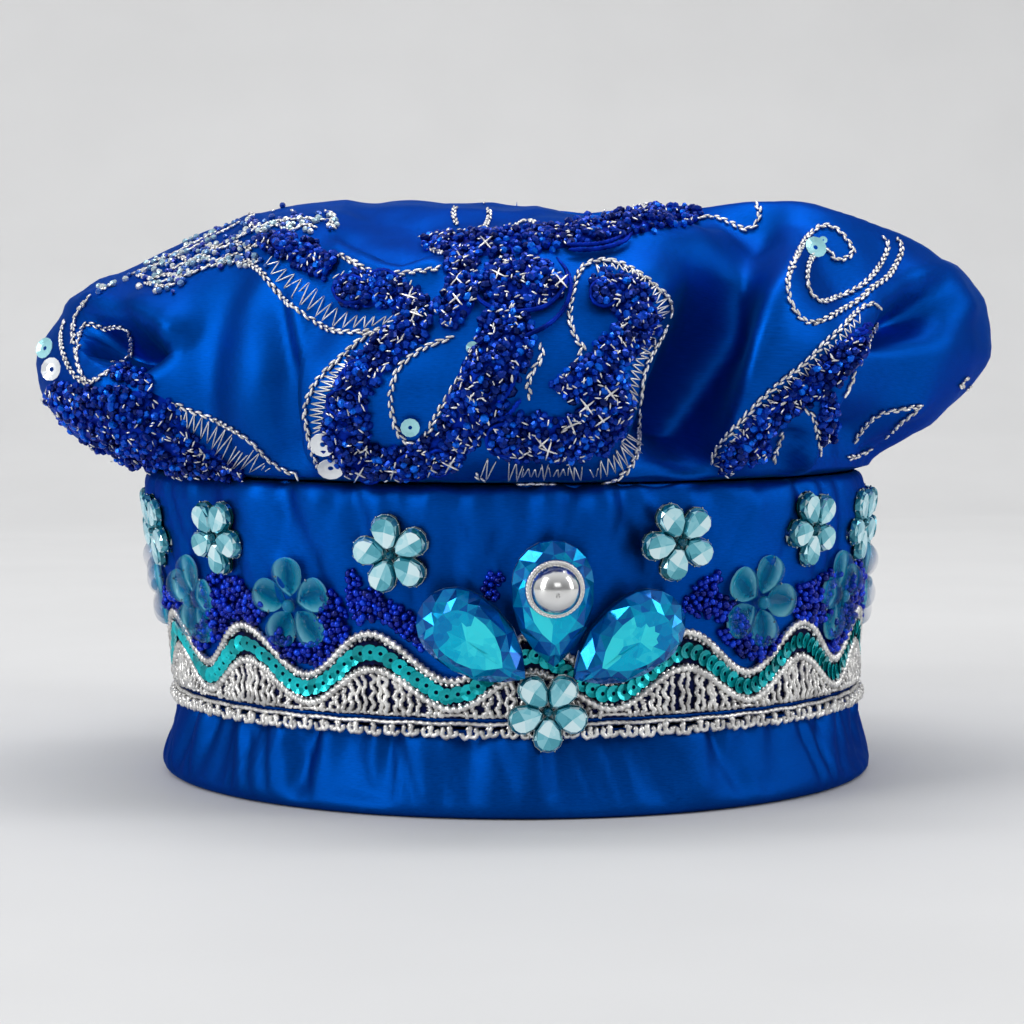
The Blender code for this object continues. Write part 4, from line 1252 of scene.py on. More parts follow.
def flower_mesh(domed):
    """Five stones round a small middle one, in millimetres, held by silver claws; the cut ones also sit in silver
    cups round a silver foot.
    """
    bm = bmesh.new()
    draw = np.random.default_rng(BEAD_SEED + 3)
    reach, half_width, depth, inner = (12.6, 4.5, 4.4, 2.2) if domed else (10.5, 3.75, 3.3, 0.9)
    length, centre = reach - inner, (reach + inner) / 2
    for k in range(PETALS):
        before = set(bm.verts)
        if domed:
            dome_stone(bm, length, half_width, centre, depth)
            claws = ((centre + 0.46 * length, 0.0, 0, 0.7), (centre, half_width * 0.97, 90, 0.7))
        else:
            cut_stone(bm, length, half_width, centre, depth, 12, 0.8, 1.0, draw)
            claws = [
                (centre + 0.5 * length * math.cos(t), half_width * 1.02 * math.sin(t), math.degrees(t), 1.25)
                for t in (-1.25, -0.45, 0.45, 1.25)
            ]
        for x, y, turn, height in claws:
            claw(bm, x, y, height, turn, 0.36, 1)
        own = [v for v in bm.verts if v not in before]
        spin = Matrix.Rotation(FULL_TURN * k / PETALS, 3, "Z")
        bmesh.ops.rotate(bm, cent=(0, 0, 0), matrix=spin, verts=own)
    hub = 1.9 if domed else 1.1
    outline = [(hub * math.cos(t * math.pi / 5), hub * math.sin(t * math.pi / 5)) for t in range(10)]
    foot = (Level(1.2, 0.0, 0.0), Level(1.2, 1.6, 0.0), Level(0.95, 2.0, 0.0))
    grown_body(bm, outline, 0, foot, 0 if domed else 1)
    top = (Level(0.9, 1.8, 0.0), Level(1.0, 2.5, 0.0), Level(0.8, 3.2, 0.0), Level(0.4, 3.7, 0.0))
    hub_stone = grown_body(bm, outline, 0, top, 0, high_peak=3.8, smooth=domed)
    if domed:
        tints = bm.verts.layers.float["tint"]
        for vert in {v for face in hub_stone for v in face.verts}:
            vert[tints] = 0.42
    return mesh_from("flower", bm)


def with_back(front, count):
    """The front flowers, and the ones that carry their row on round the back."""
    first, last = front[-1], front[0]
    step = (last.azimuth + 360 - first.azimuth) / (count + 1)
    height = sum(f.height for f in front) / len(front)
    back = [Flower(first.azimuth + step * (k + 1), height, BACK_TURN_STEP * k - 90) for k in range(count)]
    return [*front, *back]


def setting_metal():
    return metal_finish("setting_silver", (0.34, 0.40, 0.42), 0.2)


def build_flowers():
    """The ring of cut flowers with the low one under the ornament, and the ring of domed ones."""
    # The stones' own aqua, spread from near black to near white as painted shade and painted highlights on the
    # facets.
    stops = (
        (0.0, (0.003, 0.07, 0.11)), (0.3, (0.01, 0.22, 0.30)), (0.6, (0.13, 0.48, 0.58)), (0.8, (0.38, 0.73, 0.81)),
        (1.0, (0.70, 0.91, 0.95)),
    )
    aqua = painted_glint_stone("aqua_stones", stops, Specular_Tint=(0.4, 0.85, 1.0, 1.0), Coat_Weight=0.6)
    cut_flowers = [(f"{n:02d}", spot, GAP) for n, spot in enumerate(with_back(FACETED_FLOWERS, FACETED_AT_BACK), 1)]
    cut_flowers.append(("low", LOW_FLOWER, LOW_STANDOFF))
    drops = [(f"{n:02d}", spot, GAP) for n, spot in enumerate(with_back(CABOCHON_FLOWERS, CABOCHONS_AT_BACK), 1)]
    for flowers, finish, piece, node, slot in (
        (cut_flowers, aqua, "cut_flower", "faceted_flower", "aqua_stone"),
        (drops, painted_rim_jelly("clear_teal_painted_rim"), "drop_flower", "cabochon_flower", "cabochon"),
    ):
        template = flower_mesh(domed=slot == "cabochon")
        for tag, spot, standoff in flowers:
            mesh = template.copy()
            mesh.transform(Matrix.Scale(MM, 4) @ seat(spot.azimuth, spot.height, spot.turn, standoff))
            as_piece(f"{piece}_{tag}", mesh, [finish, setting_metal()], [f"{node}_{tag}"], smooth=False)
        bpy.data.meshes.remove(template)


def build_pear_stones():
    draw = np.random.default_rng(BEAD_SEED + 4)
    # The pears' own cyan, spread from deep blue to pale cyan as painted shade and painted highlights on the facets.
    stops = (
        (0.0, (0.0, 0.035, 0.22)), (0.3, (0.0, 0.11, 0.42)), (0.5, (0.0, 0.24, 0.55)), (0.75, (0.0, 0.48, 0.72)),
        (1.0, (0.04, 0.76, 0.88)),
    )
    own = {"Metallic": 0.55, "Specular_IOR_Level": 0.5, "Specular_Tint": (0.05, 0.5, 1.0, 1.0), "Coat_Weight": 0.25}
    finishes = [painted_glint_stone("cyan_stones", stops, **own), setting_metal()]
    star = (Level(0.34, PEAR_DEPTH * 0.98, 0.1),)
    for pear in PEARS:
        bm = bmesh.new()
        cut_stone(bm, pear.length, pear.half_width, 0.0, PEAR_DEPTH, 20, 0.62, 0.96, draw, star)
        mesh = mesh_from(pear.name, bm)
        spot = seat(pear.azimuth, pear.height, pear.turn, PEAR_STANDOFF)
        mesh.transform(Matrix.Scale(MM, 4) @ spot)
        as_piece(pear.name + "_cut", mesh, finishes, [pear.name], smooth=False)


def build_metal_button():
    """A turned dome in a beaded rim, with a small hole at its top."""
    bm = bmesh.new()
    profile = [(0.0, 0.0), (7.3, 0.0), (7.5, 0.5), (7.3, 1.1), (6.75, 1.25), (6.55, 1.0), (6.4, 1.3), (6.35, 1.9)]
    steps = np.radians(np.linspace(8, 86, 14))
    profile += [(6.3 * math.cos(t), 1.4 + 5.75 * math.sin(t)) for t in steps]
    profile += [(0.4, 7.05), (0.33, 6.5), (0.0, 6.4)]
    turned_line(bm, [(r, 0, z) for r, z in profile], 64)
    bmesh.ops.remove_doubles(bm, verts=bm.verts, dist=0.001)
    for turn in (FULL_TURN * k / 44 for k in range(44)):
        claw(bm, 7.0 * math.cos(turn), 7.0 * math.sin(turn), 1.15, math.degrees(turn) + 62, 0.42, 0)
    bmesh.ops.recalc_face_normals(bm, faces=bm.faces)
    mesh = mesh_from("metal_dome", bm)
    mesh.transform(Matrix.Scale(MM, 4) @ seat(BUTTON_AZIMUTH, BUTTON_HEIGHT, 0, BUTTON_STANDOFF))
    bright = metal_finish("polished_silver", (0.86, 0.86, 0.85), 0.16)
    as_piece("metal_dome", mesh, [bright], ["metal_button"])


# ---------------------------------------------------------------- beads and stitches


def smooth_line(points, count):
    """A line through drawing points, evenly spaced along a smooth curve."""
    points = np.array(points, float)
    ends = np.concatenate([[2 * points[0] - points[1]], points, [2 * points[-1] - points[-2]]])
    share = np.linspace(0, 1, 9)[:-1, None]
    parts = []
    for a, b, c, d in zip(ends, ends[1:], ends[2:], ends[3:]):
        bend, twist = 2 * a - 5 * b + 4 * c - d, 3 * b - a - 3 * c + d
        parts.append(0.5 * (2 * b + (c - a) * share + bend * share**2 + twist * share**3))
    fine = np.concatenate([*parts, points[-1:]])
    length = length_along(fine[:, :2])
    at = np.linspace(0, length[-1], count)
    return np.stack([np.interp(at, length, fine[:, k]) for k in range(points.shape[1])], axis=1)


def pixel_length(points):
    return float(np.linalg.norm(np.diff(np.array(points, float)[:, :2], axis=0), axis=1).sum())


def trail_line(trail):
    """A trail's evenly spaced points and, at each, the direction across it."""
    line = smooth_line(trail, max(6, int(pixel_length(trail) / 5)))
    way = np.gradient(line[:, :2], axis=0)
    way /= np.linalg.norm(way, axis=1, keepdims=True)
    return line, np.stack([-way[:, 1], way[:, 0]], axis=1)


class Cloth:
    """A finished satin piece on which things are laid from a viewpoint, in millimetres."""

    def __init__(self, name, azimuth):
        bm = bmesh.new()
        bm.from_mesh(bpy.data.objects[name].data)
        bm.normal_update()
        self.tree = BVHTree.FromBMesh(bm)
        bm.free()
        self.azimuth = azimuth

    def under(self, px, py):
        """The spot and normal that a pixel shows, or None past the cloth's edge."""
        eye, ray = sight_line(px, py, self.azimuth)
        spot, normal, _, _ = self.tree.ray_cast(eye, ray)
        if spot is None or normal.dot(ray) > -0.12:
            return None
        return spot / MM, normal


def turned_to(way, normal, spot, scales):
    """The matrix that lays a thing at a spot, its X along way and its Z along normal."""
    side = normal.cross(way).normalized()
    along = side.cross(normal).normalized()
    axes = Matrix((along * scales[0], side * scales[1], normal * scales[2])).transposed().to_4x4()
    return Matrix.Translation(spot) @ axes


def any_way(draw):
    return Vector(draw.normal(size=3)).normalized()


def pad_height(across, half_pixels):
    """The height of a padded mass at a share across it, from -1 to 1."""
    return float(min(1.5, 0.28 * (half_pixels * PIXEL_MM)) * np.sqrt(np.clip(1 - across**2, 0, 1)))


def bead_mass(cloth, trails, size, draw, density, keep=lambda spot: True):
    """Matrices of beads heaped along the trails, and the pad strips that they sit on."""
    matrices, pads, taken = [], [], {}
    around = [(i, j, k) for i in (-1, 0, 1) for j in (-1, 0, 1) for k in (-1, 0, 1)]

    def crowded(spot, least):
        cell = tuple(int(c // 2.2) for c in spot)
        near = (taken.get(tuple(c + step for c, step in zip(cell, steps)), ()) for steps in around)
        if any((other - spot).length < least for group in near for other in group):
            return True
        taken.setdefault(cell, []).append(spot.copy())
        return False

    for trail in trails:
        line, across = trail_line(trail)
        count = len(line)
        pads.append((line, across))
        area = pixel_length(trail) * PIXEL_MM * 2 * line[:, 2].mean() * PIXEL_MM
        wanted = int(density * area / (size * size * 0.8))
        for _ in range(wanted * 3):
            at = draw.uniform(0, count - 1)
            share = draw.uniform(-1.02, 1.02)
            k, part = int(at), at % 1
            n = min(k + 1, count - 1)
            x, y, half = line[k] * (1 - part) + line[n] * part
            px, py = np.array((x, y)) + (across[k] * (1 - part) + across[n] * part) * share * half
            found = cloth.under(px, py)
            if not found or not keep(found[0]):
                continue
            spot, normal = found
            layer = draw.choice((0.25, 0.8, 1.5), p=(0.42, 0.38, 0.2)) * (1 - 0.5 * share * share)
            spot = spot + normal * (pad_height(share, half) * 0.8 + layer * size * 0.5)
            if crowded(spot, size * 0.62):
                continue
            own = size * 0.5 * draw.uniform(0.72, 1.15)
            turn, up = any_way(draw), (normal + Vector(draw.normal(size=3)) * 0.6).normalized()
            matrices.append(turned_to(turn, up, spot, (own * draw.uniform(1.0, 1.5), own, own)))
    return matrices, pads


def build_pads(name, cloth, pads, swell=1.0):
    """Low padded mounds under the bead masses, in dark thread."""
    whole = bmesh.new()
    for line, across in pads:
        count, wide = len(line), 9
        bm = bmesh.new()
        bmesh.ops.create_grid(bm, x_segments=count - 1, y_segments=wide - 1, size=0.5)
        lost = []
        for vert in bm.verts:
            k = int(round((vert.co.x + 0.5) * (count - 1)))
            share = vert.co.y * 2
            from_end = min(1, 6 * min(k, count - 1 - k) / (count - 1))
            end = math.sqrt(max(0.0, 1 - (1 - from_end) ** 2))
            px, py = line[k, :2] + across[k] * share * line[k, 2] * (0.25 + 0.75 * end)
            found = cloth.under(px, py)
            if not found:
                lost.append(vert)
                continue
            spot, normal = found
            inner = 1 - share * share
            high = swell * pad_height(share, line[k, 2]) * end - 0.35 * (1 - end * inner)
            vert.co = spot + normal * (high + 0.25 * noise.noise(Vector(spot) * 0.7) * inner)
        bmesh.ops.delete(bm, geom=lost, context="VERTS")
        long_edges = [e for e in bm.edges if e.calc_length() > 14]
        bmesh.ops.delete(bm, geom=long_edges, context="EDGES")
        bm.normal_update()
        part = mesh_from("pad", bm)
        whole.from_mesh(part)
        bpy.data.meshes.remove(part)
    eye = eye_axes(cloth.azimuth)[0]
    whole.normal_update()
    wrong = [f for f in whole.faces if f.normal.dot(eye - f.calc_center_median()) < 0]
    if len(wrong) > len(whole.faces) / 2:
        bmesh.ops.reverse_faces(whole, faces=whole.faces)
    bmesh.ops.scale(whole, vec=(MM, MM, MM), verts=whole.verts)
    return mesh_from(name, whole)


def short_stitches(cloth, trails, draw, gap):
    """Matrices of little silver stitches strewn over the bead masses."""
    matrices = []
    for trail in trails:
        line, across = trail_line(trail)
        for _ in range(int(pixel_length(trail) * 2 * line[:, 2].mean() / gap**2)):
            k, share = draw.integers(len(line)), draw.uniform(-0.95, 0.95)
            px, py = line[k, :2] + across[k] * share * line[k, 2]
            found = cloth.under(px, py)
            if found:
                spot, normal = found
                spot = spot + normal * (pad_height(share, line[k, 2]) + 1.35)
                size = (draw.uniform(0.55, 1.25), 0.24, 0.24)
                matrices.append(turned_to(any_way(draw), normal, spot, size))
    return matrices


def laid_line(cloth, line, lift):
    """The spots and normals along a drawing line, in stretches that the cloth shows."""
    stretches, current = [], []
    for px, py in line:
        found = cloth.under(px, py)
        near = not current or (found and (found[0] - current[-1][0]).length < 6)
        if found and near:
            current.append((found[0] + found[1] * lift, found[1]))
        else:
            stretches.append(current)
            current = [(found[0] + found[1] * lift, found[1])] if found else []
    stretches.append(current)
    return [each for each in stretches if len(each) > 2]


def chain_stitches(cloth, line, draw):
    """Matrices of slanted loops, two and two, along a drawing line."""
    matrices = []
    for stretch in laid_line(cloth, smooth_line(line, max(4, int(pixel_length(line) / 0.9))), 0.5):
        spots = np.array([spot for spot, _ in stretch])
        length = length_along(spots)
        for k in range(max(1, int(length[-1] / LINK_STEP))):
            own = min(int(np.searchsorted(length, (k + 0.5) * LINK_STEP)), len(stretch) - 2)
            spot, normal = stretch[own]
            way = (stretch[own + 1][0] - stretch[max(own - 1, 0)][0]).normalized()
            side = normal.cross(way).normalized()
            sign = 1 if k % 2 else -1
            slant = (way + side * sign * draw.uniform(0.12, 0.34)).normalized()
            size = (draw.uniform(1.05, 1.5), LINK_WIDTH * draw.uniform(0.6, 0.82), LINK_WIDTH * 0.7)
            matrices.append(turned_to(slant, normal, spot + side * sign * 0.36, size))
    return matrices


def stroke(start, end, normal, width, lift):
    """The matrix of one straight stitch between two spots."""
    middle = (start + end) / 2 + normal * lift
    return turned_to((end - start).normalized(), normal, middle, ((end - start).length / 2 + width, width, width))


def lace_stitches(cloth, outer, inner, pitch, draw):
    """Matrices of a thin zigzag thread between two drawing lines; pitch is in millimetres."""
    count = max(3, int(pixel_length(outer) * PIXEL_MM / pitch))
    far, near = smooth_line(outer, count * 2), smooth_line(inner, count * 2)
    ends = []
    for k in range(count * 2):
        px, py = far[k] if k % 2 else near[k]
        ends.append(cloth.under(px + draw.uniform(-1.2, 1.2), py + draw.uniform(-1.2, 1.2)))
    return [
        stroke(a[0] + a[1] * 0.35, b[0] + b[1] * 0.35, (a[1] + b[1]).normalized(), 0.2, 0.25)
        for a, b in zip(ends, ends[1:])
        if a and b and (a[0] - b[0]).length < 16
    ]


def cross_stitches(cloth, centres, draw):
    matrices = []
    for x, y in centres:
        turn = draw.uniform(-0.5, 0.5)
        for angle in (turn + 0.7, turn + 2.3):
            dx, dy = CROSS_REACH * math.cos(angle), CROSS_REACH * math.sin(angle)
            a, b = cloth.under(x - dx, y - dy), cloth.under(x + dx, y + dy)
            if a and b and (a[0] - b[0]).length < 14:
                matrices.append(stroke(a[0] + a[1] * 2.5, b[0] + b[1] * 2.5, (a[1] + b[1]).normalized(), 0.3, 0.4))
    return matrices


def cord_pieces(name, cloth, lines, lift, radius, finish):
    """Padded cords along drawing lines, of the same number of rings each."""
    rings, paths, outs = 40, [], []
    for line in lines:
        for stretch in laid_line(cloth, smooth_line(line, rings * 3), lift):
            if len(stretch) < rings:
                continue
            keep = np.linspace(0, len(stretch) - 1, rings).astype(int)
            paths.append([stretch[k][0] for k in keep])
            outs.append([stretch[k][1] for k in keep])
    if paths:
        swell = radius * np.sqrt(np.clip(1 - np.abs(np.linspace(-1, 1, rings)) ** 8, 0.15, 1))
        mesh = tubes(name, paths, outs, swell[None], 6, ridge=0.22, pitch=1.3)
        as_piece(name, mesh, [finish])


def rosette_beads(cloth, centre, draw):
    """Matrices of a ring of beads round a raised middle one, and the ring's own line."""
    x, y, reach = centre
    matrices = []
    found = cloth.under(x, y)
    if found:
        spot, normal = found[0] + found[1] * 2.6, found[1]
        matrices.append(turned_to(any_way(draw), normal, spot, (1.3, 1.3, 1.1)))
    for turn in (FULL_TURN * k / 9 for k in range(9)):
        found = cloth.under(x + 0.55 * reach * math.cos(turn), y + 0.5 * reach * math.sin(turn))
        if found:
            spot, normal = found[0] + found[1] * draw.uniform(1.9, 2.5), found[1]
            size = draw.uniform(0.85, 1.15)
            matrices.append(turned_to(any_way(draw), normal, spot, (size * 1.15, size, size)))
    turns = [FULL_TURN * k / 24 for k in range(25)]
    return matrices, [(x + 0.82 * reach * math.cos(t), y + 0.74 * reach * math.sin(t)) for t in turns]


def embroider(tag, azimuth, trails, with_lobes):
    """Everything sewn on one face of the crown."""
    cloth = Cloth("crown_satin", azimuth)
    draw = np.random.default_rng(BEAD_SEED + len(tag))
    size = settings_now().bead_size / MM
    silver, royal, dark = silver_thread(), royal_beads(), blue_thread()
    strewn, rings = [], []
    masses = np.array([spot for name in trails for trail in TRAILS[name] for spot in smooth_line(trail, 60)])

    def on_mass(spot):
        return np.min(np.hypot(masses[:, 0] - spot[0], masses[:, 1] - spot[1]) - masses[:, 2]) < 4

    for name in trails:
        lines = TRAILS[name]
        matrices, pads = bead_mass(cloth, lines, size, draw, 1.6 if with_lobes else 1.1)
        tints = draw.random(len(matrices))
        node = f"applique_{name}" if with_lobes else f"applique_back_{name}".replace("centre_", "")
        sown(f"beads_{tag}_{name}", bead_template(6, 4), matrices, tints, royal, [node])
        as_piece(f"pad_{tag}_{name}", build_pads(f"pad_{tag}_{name}", cloth, pads), [dark])
        strewn += short_stitches(cloth, lines, draw, 9.0)
    raised = []
    for centre in filter(on_mass, ROSETTES):
        beads, ring = rosette_beads(cloth, centre, draw)
        raised += beads
        rings.append(ring)
    sown(f"rosettes_{tag}", bead_template(7, 5), raised, draw.random(len(raised)), royal)
    cord_pieces(f"rosette_cords_{tag}", cloth, rings, 1.9, 0.55, dark)
    cord_pieces(f"padded_cords_{tag}", cloth, PADDED_CORDS[: None if with_lobes else 2], 1.5, 0.62, dark)
    strewn += cross_stitches(cloth, filter(on_mass, CROSSES), draw)
    chains = [*CHAINS, *SHORT_CHAINS] if with_lobes else CHAINS[2:7]
    laces = LACES if with_lobes else LACES[1:4]
    links = [m for line in chains for m in chain_stitches(cloth, line, draw)]
    threads = [m for outer, inner, pitch in laces for m in lace_stitches(cloth, outer, inner, pitch, draw)]
    for name, matrices in (("chains", links), ("laces", threads), ("stitches", strewn)):
        sown(f"{name}_{tag}", bead_template(6, 4), matrices, None, silver, smooth=True)


def build_lobe_details():
    """The sequins and loose beads that the front's stitching holds."""
    cloth = Cloth("crown_satin", EYE_AZIMUTH)
    draw = np.random.default_rng(BEAD_SEED + 9)
    stops = ((0.0, (0.32, 0.72, 0.78)), (0.5, (0.62, 0.80, 0.84)), (1.0, (0.85, 0.87, 0.9)))
    pearl = beads_finish("pearl_sequins", stops, Metallic=0.3)
    matrices, tints = [], []
    for x, y, radius in SEQUINS:
        spot, normal = cloth.under(x, y) or (None, None)
        if spot is None:
            continue
        tilt = (normal - sight_line(x, y)[1] * 0.8 + Vector(draw.normal(size=3)) * 0.12).normalized()
        matrices.append(turned_to(Vector((1, 0.2, 0.1)), tilt, spot + tilt * 1.5, (radius / 2.35,) * 3))
        tints.append(0.95 if radius > 3.05 else 0.05)
    sown("crown_sequins", sequin_template(2.35, 0.5, 0.3), matrices, np.array(tints), pearl)
    matrices = []
    for line in (*CHAINS[-4:], *SHORT_CHAINS):
        for px, py in smooth_line(line, int(pixel_length(line) / 3.6)):
            found = cloth.under(px + draw.uniform(-8, 8), py + draw.uniform(-6, 6))
            if found:
                sizes = (draw.uniform(0.6, 1.05),) * 3
                matrices.append(turned_to(any_way(draw), found[1], found[0] + found[1] * 0.6, sizes))
    stops = ((0.0, (0.002, 0.02, 0.35)), (0.35, (0.0, 0.10, 0.45)), (0.5, (0.3, 0.5, 0.6)), (1.0, (0.8, 0.81, 0.8)))
    mixed = beads_finish("mixed_beads", stops, Metallic=0.5)
    sown("lobe_beads", bead_template(7, 5), matrices, draw.random(len(matrices)), mixed)


def build_band_clumps():
    """Mounds and spiky rows of seed beads on the band, over the wave, in front and behind."""
    draw = np.random.default_rng(BEAD_SEED + 5)
    flowers = [(f, 6.4) for f in with_back(CABOCHON_FLOWERS, CABOCHONS_AT_BACK)]
    flowers += [(f, 7.4) for f in with_back(FACETED_FLOWERS, FACETED_AT_BACK)]
    centres = [(Vector(on_band(f.azimuth, f.height)), reach) for f, reach in flowers]

    def clear(spot):
        azimuth = math.degrees(math.atan2(spot.x - float(lean(spot.z)), -spot.y))
        if spot.z < float(upper_cord(azimuth)) + 1.2:
            return False
        return all((spot - centre).length > reach for centre, reach in centres)

    matrices, grounds = [], bmesh.new()
    for azimuth in (EYE_AZIMUTH, EYE_AZIMUTH + 96, EYE_AZIMUTH + 168, EYE_AZIMUTH + 240):
        cloth = Cloth("band_satin", azimuth)
        clumps = CLUMPS if azimuth == EYE_AZIMUTH else CLUMPS[3:14]
        beads, pads = bead_mass(cloth, clumps, 2.0, draw, 3.2, clear)
        ground = build_pads("ground", cloth, pads, 0.3)
        grounds.from_mesh(ground)
        bpy.data.meshes.remove(ground)
        whole = azimuth == EYE_AZIMUTH
        matrices += [m for m in beads if whole or abs(azimuth_from(m.translation, azimuth)) < 36]
    stops = ((0.0, (0.0, 0.004, 0.12)), (0.5, (0.0, 0.014, 0.38)), (1.0, (0.0, 0.055, 0.75)))
    bright = beads_finish(
        "bright_beads", stops, Metallic=0.6, Specular_Tint=(0.12, 0.3, 1.0, 1.0), Coat_Weight=0.35
    )
    sown("band_beads", bead_template(6, 4), matrices, draw.random(len(matrices)), bright, smooth=True)
    as_piece("band_bead_ground", mesh_from("band_bead_ground", grounds), [blue_thread()])


def azimuth_from(spot, azimuth):
    """How far round the cap a spot lies from an azimuth, -180 to 180."""
    own = math.degrees(math.atan2(spot.x, -spot.y))
    return (own - azimuth + 180) % 360 - 180


def build_embroidery():
    embroider("front", EYE_AZIMUTH, TRAILS, True)
    embroider("back", EYE_AZIMUTH + 180, BACK_TRAILS, False)
    build_lobe_details()


# ---------------------------------------------------------------- stage


def build_stage():
    """A pale floor that curves up into the wall, soft lights and the camera."""
    scene = bpy.context.scene
    bm = bmesh.new()
    profile = [(-2.2, 0.0), (1.1, 0.0), (1.35, 0.05), (1.55, 0.2), (1.65, 0.42), (1.68, 0.8), (1.68, 2.6)]
    line = [bm.verts.new((-3.2, y, z)) for y, z in profile]
    edges = [bm.edges.new(pair) for pair in zip(line, line[1:])]
    wide = bmesh.ops.extrude_edge_only(bm, edges=edges)["geom"]
    bmesh.ops.translate(bm, vec=(6.4, 0, 0), verts=[v for v in wide if isinstance(v, bmesh.types.BMVert)])
    bmesh.ops.subdivide_edges(bm, edges=bm.edges, cuts=3)
    bmesh.ops.recalc_face_normals(bm, faces=bm.faces)
    mesh = mesh_from("pale_floor", bm)
    mesh.shade_smooth()
    floor = bpy.data.objects.new("pale_floor", mesh)
    scene.collection.objects.link(floor)
    made, tree, shader = new_material("pale_paper", Roughness=0.6, Specular_IOR_Level=0.25)
    stops = ((0.3, (0.635, 0.635, 0.635)), (0.7, (0.655, 0.655, 0.655)))
    feed(tree, shader, Base_Color=ramp(tree, grained(tree, Scale=60.0)["Patches"], stops))
    mesh.materials.append(made)

    world = bpy.data.worlds.new("soft_surround")
    world.use_nodes = True
    tree = world.node_tree
    back = tree.nodes["Background"]
    back.inputs["Color"].default_value = (0.97, 0.98, 1.0, 1)
    way = add_node(tree, "ShaderNodeTexCoord").outputs["Generated"]
    split = add_node(tree, "ShaderNodeSeparateXYZ", {"Vector": way}).outputs
    behind = sums(tree, "MULTIPLY_ADD", split["Y"], 0.5, 0.25)
    above = sums(tree, "MULTIPLY_ADD", split["Z"], 0.8, behind)
    seen = sums(tree, "MULTIPLY", add_node(tree, "ShaderNodeLightPath").outputs["Is Camera Ray"], 0.72)
    feed(tree, back, Strength=sums(tree, "MAXIMUM", span(tree, above, 0.24, 0.90), seen))
    scene.world = world

    def softbox(name, spot, target, wide, high, power):
        light = bpy.data.lights.new(name, "AREA")
        light.shape, light.size, light.size_y, light.energy = "RECTANGLE", wide, high, power
        item = bpy.data.objects.new(name, light)
        item.location = spot
        item.rotation_euler = (Vector(target) - Vector(spot)).to_track_quat("-Z", "Y").to_euler()
        scene.collection.objects.link(item)

    softbox("left_softbox", (-1.25, -0.8, 0.75), (0, 0, 0.1), 0.45, 1.3, 11)
    softbox("right_softbox", (1.3, -0.5, 0.65), (0, 0, 0.1), 0.35, 1.1, 5)
    softbox("top_softbox", (0.0, 0.25, 1.75), (0, 0, 0.0), 1.2, 0.7, 3.5)
    softbox("front_fill", (0.2, -2.2, 0.9), (0, 0, 0.1), 1.0, 0.6, 2.5)
    softbox("wall_softbox", (0.0, 0.3, 2.2), (0, 1.68, 0.9), 2.2, 0.5, 21)

    eye, right, up, forward = eye_axes(EYE_AZIMUTH)
    view = bpy.data.cameras.new("camera")
    view.sensor_width = 36.0
    view.lens = view.sensor_width * FOCAL / PICTURE
    view.clip_start = 0.05
    camera = bpy.data.objects.new("camera", view)
    axes = Matrix((right, up, -forward)).transposed().to_4x4()
    camera.matrix_world = Matrix.Translation(eye * MM) @ axes
    scene.collection.objects.link(camera)
    scene.camera = camera
    scene.view_settings.view_transform = "Standard"
    scene.view_settings.look = "None"


# ---------------------------------------------------------------- operators


def settings_now():
    return bpy.context.scene.cap_settings


class CAP_OT_stage(bpy.types.Operator):
    """Make the floor, the lights and the camera"""

    bl_idname = "cap.stage"
    bl_label = "Stage"

    def execute(self, context):
        build_stage()
        return {"FINISHED"}


class CAP_OT_band(bpy.types.Operator):
    """Make the padded satin band"""

    bl_idname = "cap.band"
    bl_label = "Band"

    def execute(self, context):
        build_band_cloth(settings_now())
        return {"FINISHED"}


class CAP_OT_hem(bpy.types.Operator):
    """Make the gathered hem"""

    bl_idname = "cap.hem"
    bl_label = "Hem"

    def execute(self, context):
        build_hem_cloth(settings_now())
        return {"FINISHED"}


class CAP_OT_crown(bpy.types.Operator):
    """Make the puffed crown with its folds"""

    bl_idname = "cap.crown"
    bl_label = "Crown"

    def execute(self, context):
        build_crown_cloth(settings_now())
        return {"FINISHED"}


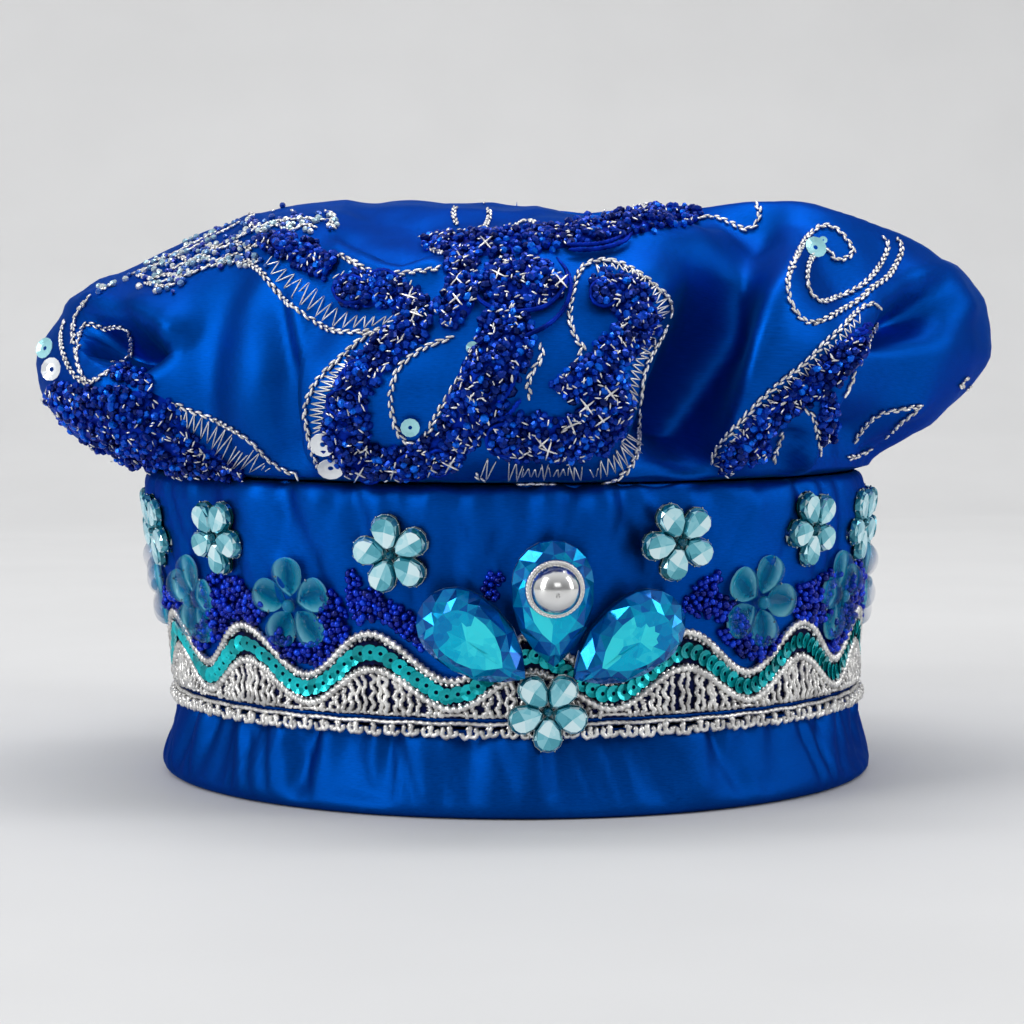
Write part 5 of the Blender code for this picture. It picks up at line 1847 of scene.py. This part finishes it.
class CAP_OT_trim(bpy.types.Operator):
    """Make the wave trim's cords, sequins, bullion and edging"""

    bl_idname = "cap.trim"
    bl_label = "Wave trim"

    def execute(self, context):
        build_trim_cords()
        build_trim_sequins()
        build_trim_bullion()
        build_trim_edging()
        return {"FINISHED"}


class CAP_OT_flowers(bpy.types.Operator):
    """Make the cut and the domed stone flowers"""

    bl_idname = "cap.flowers"
    bl_label = "Stone flowers"

    def execute(self, context):
        build_flowers()
        return {"FINISHED"}


class CAP_OT_ornament(bpy.types.Operator):
    """Make the three pear stones and the metal dome"""

    bl_idname = "cap.ornament"
    bl_label = "Ornament"

    def execute(self, context):
        build_pear_stones()
        build_metal_button()
        return {"FINISHED"}


class CAP_OT_embroidery(bpy.types.Operator):
    """Sew the beads, chains, laces and sequins on the crown"""

    bl_idname = "cap.embroidery"
    bl_label = "Crown embroidery"

    def execute(self, context):
        build_embroidery()
        return {"FINISHED"}


class CAP_OT_band_beads(bpy.types.Operator):
    """Sew the bead clumps on the band"""

    bl_idname = "cap.band_beads"
    bl_label = "Band beads"

    def execute(self, context):
        build_band_clumps()
        return {"FINISHED"}


class CAP_PT_pieces(bpy.types.Panel):
    """The cap's pieces and settings"""

    bl_idname = "CAP_PT_pieces"
    bl_label = "Cap"
    bl_space_type = "VIEW_3D"
    bl_region_type = "UI"
    bl_category = "Cap"

    def draw(self, context):
        for key in CapSettings.__annotations__:
            self.layout.prop(context.scene.cap_settings, key)
        for each in OPERATORS:
            self.layout.operator(each.bl_idname)


OPERATORS = (
    CAP_OT_stage, CAP_OT_band, CAP_OT_hem, CAP_OT_crown, CAP_OT_trim, CAP_OT_flowers, CAP_OT_ornament,
    CAP_OT_embroidery, CAP_OT_band_beads,
)
CLASSES = (CapSettings, *OPERATORS, CAP_PT_pieces)


def register():
    for each in CLASSES:
        bpy.utils.register_class(each)
    bpy.types.Scene.cap_settings = bpy.props.PointerProperty(type=CapSettings)


def unregister():
    del bpy.types.Scene.cap_settings
    for each in reversed(CLASSES):
        bpy.utils.unregister_class(each)


def main():
    register()
    for each in OPERATORS:
        group, name = each.bl_idname.split(".")
        getattr(getattr(bpy.ops, group), name)()


if __name__ == "__main__":
    main()
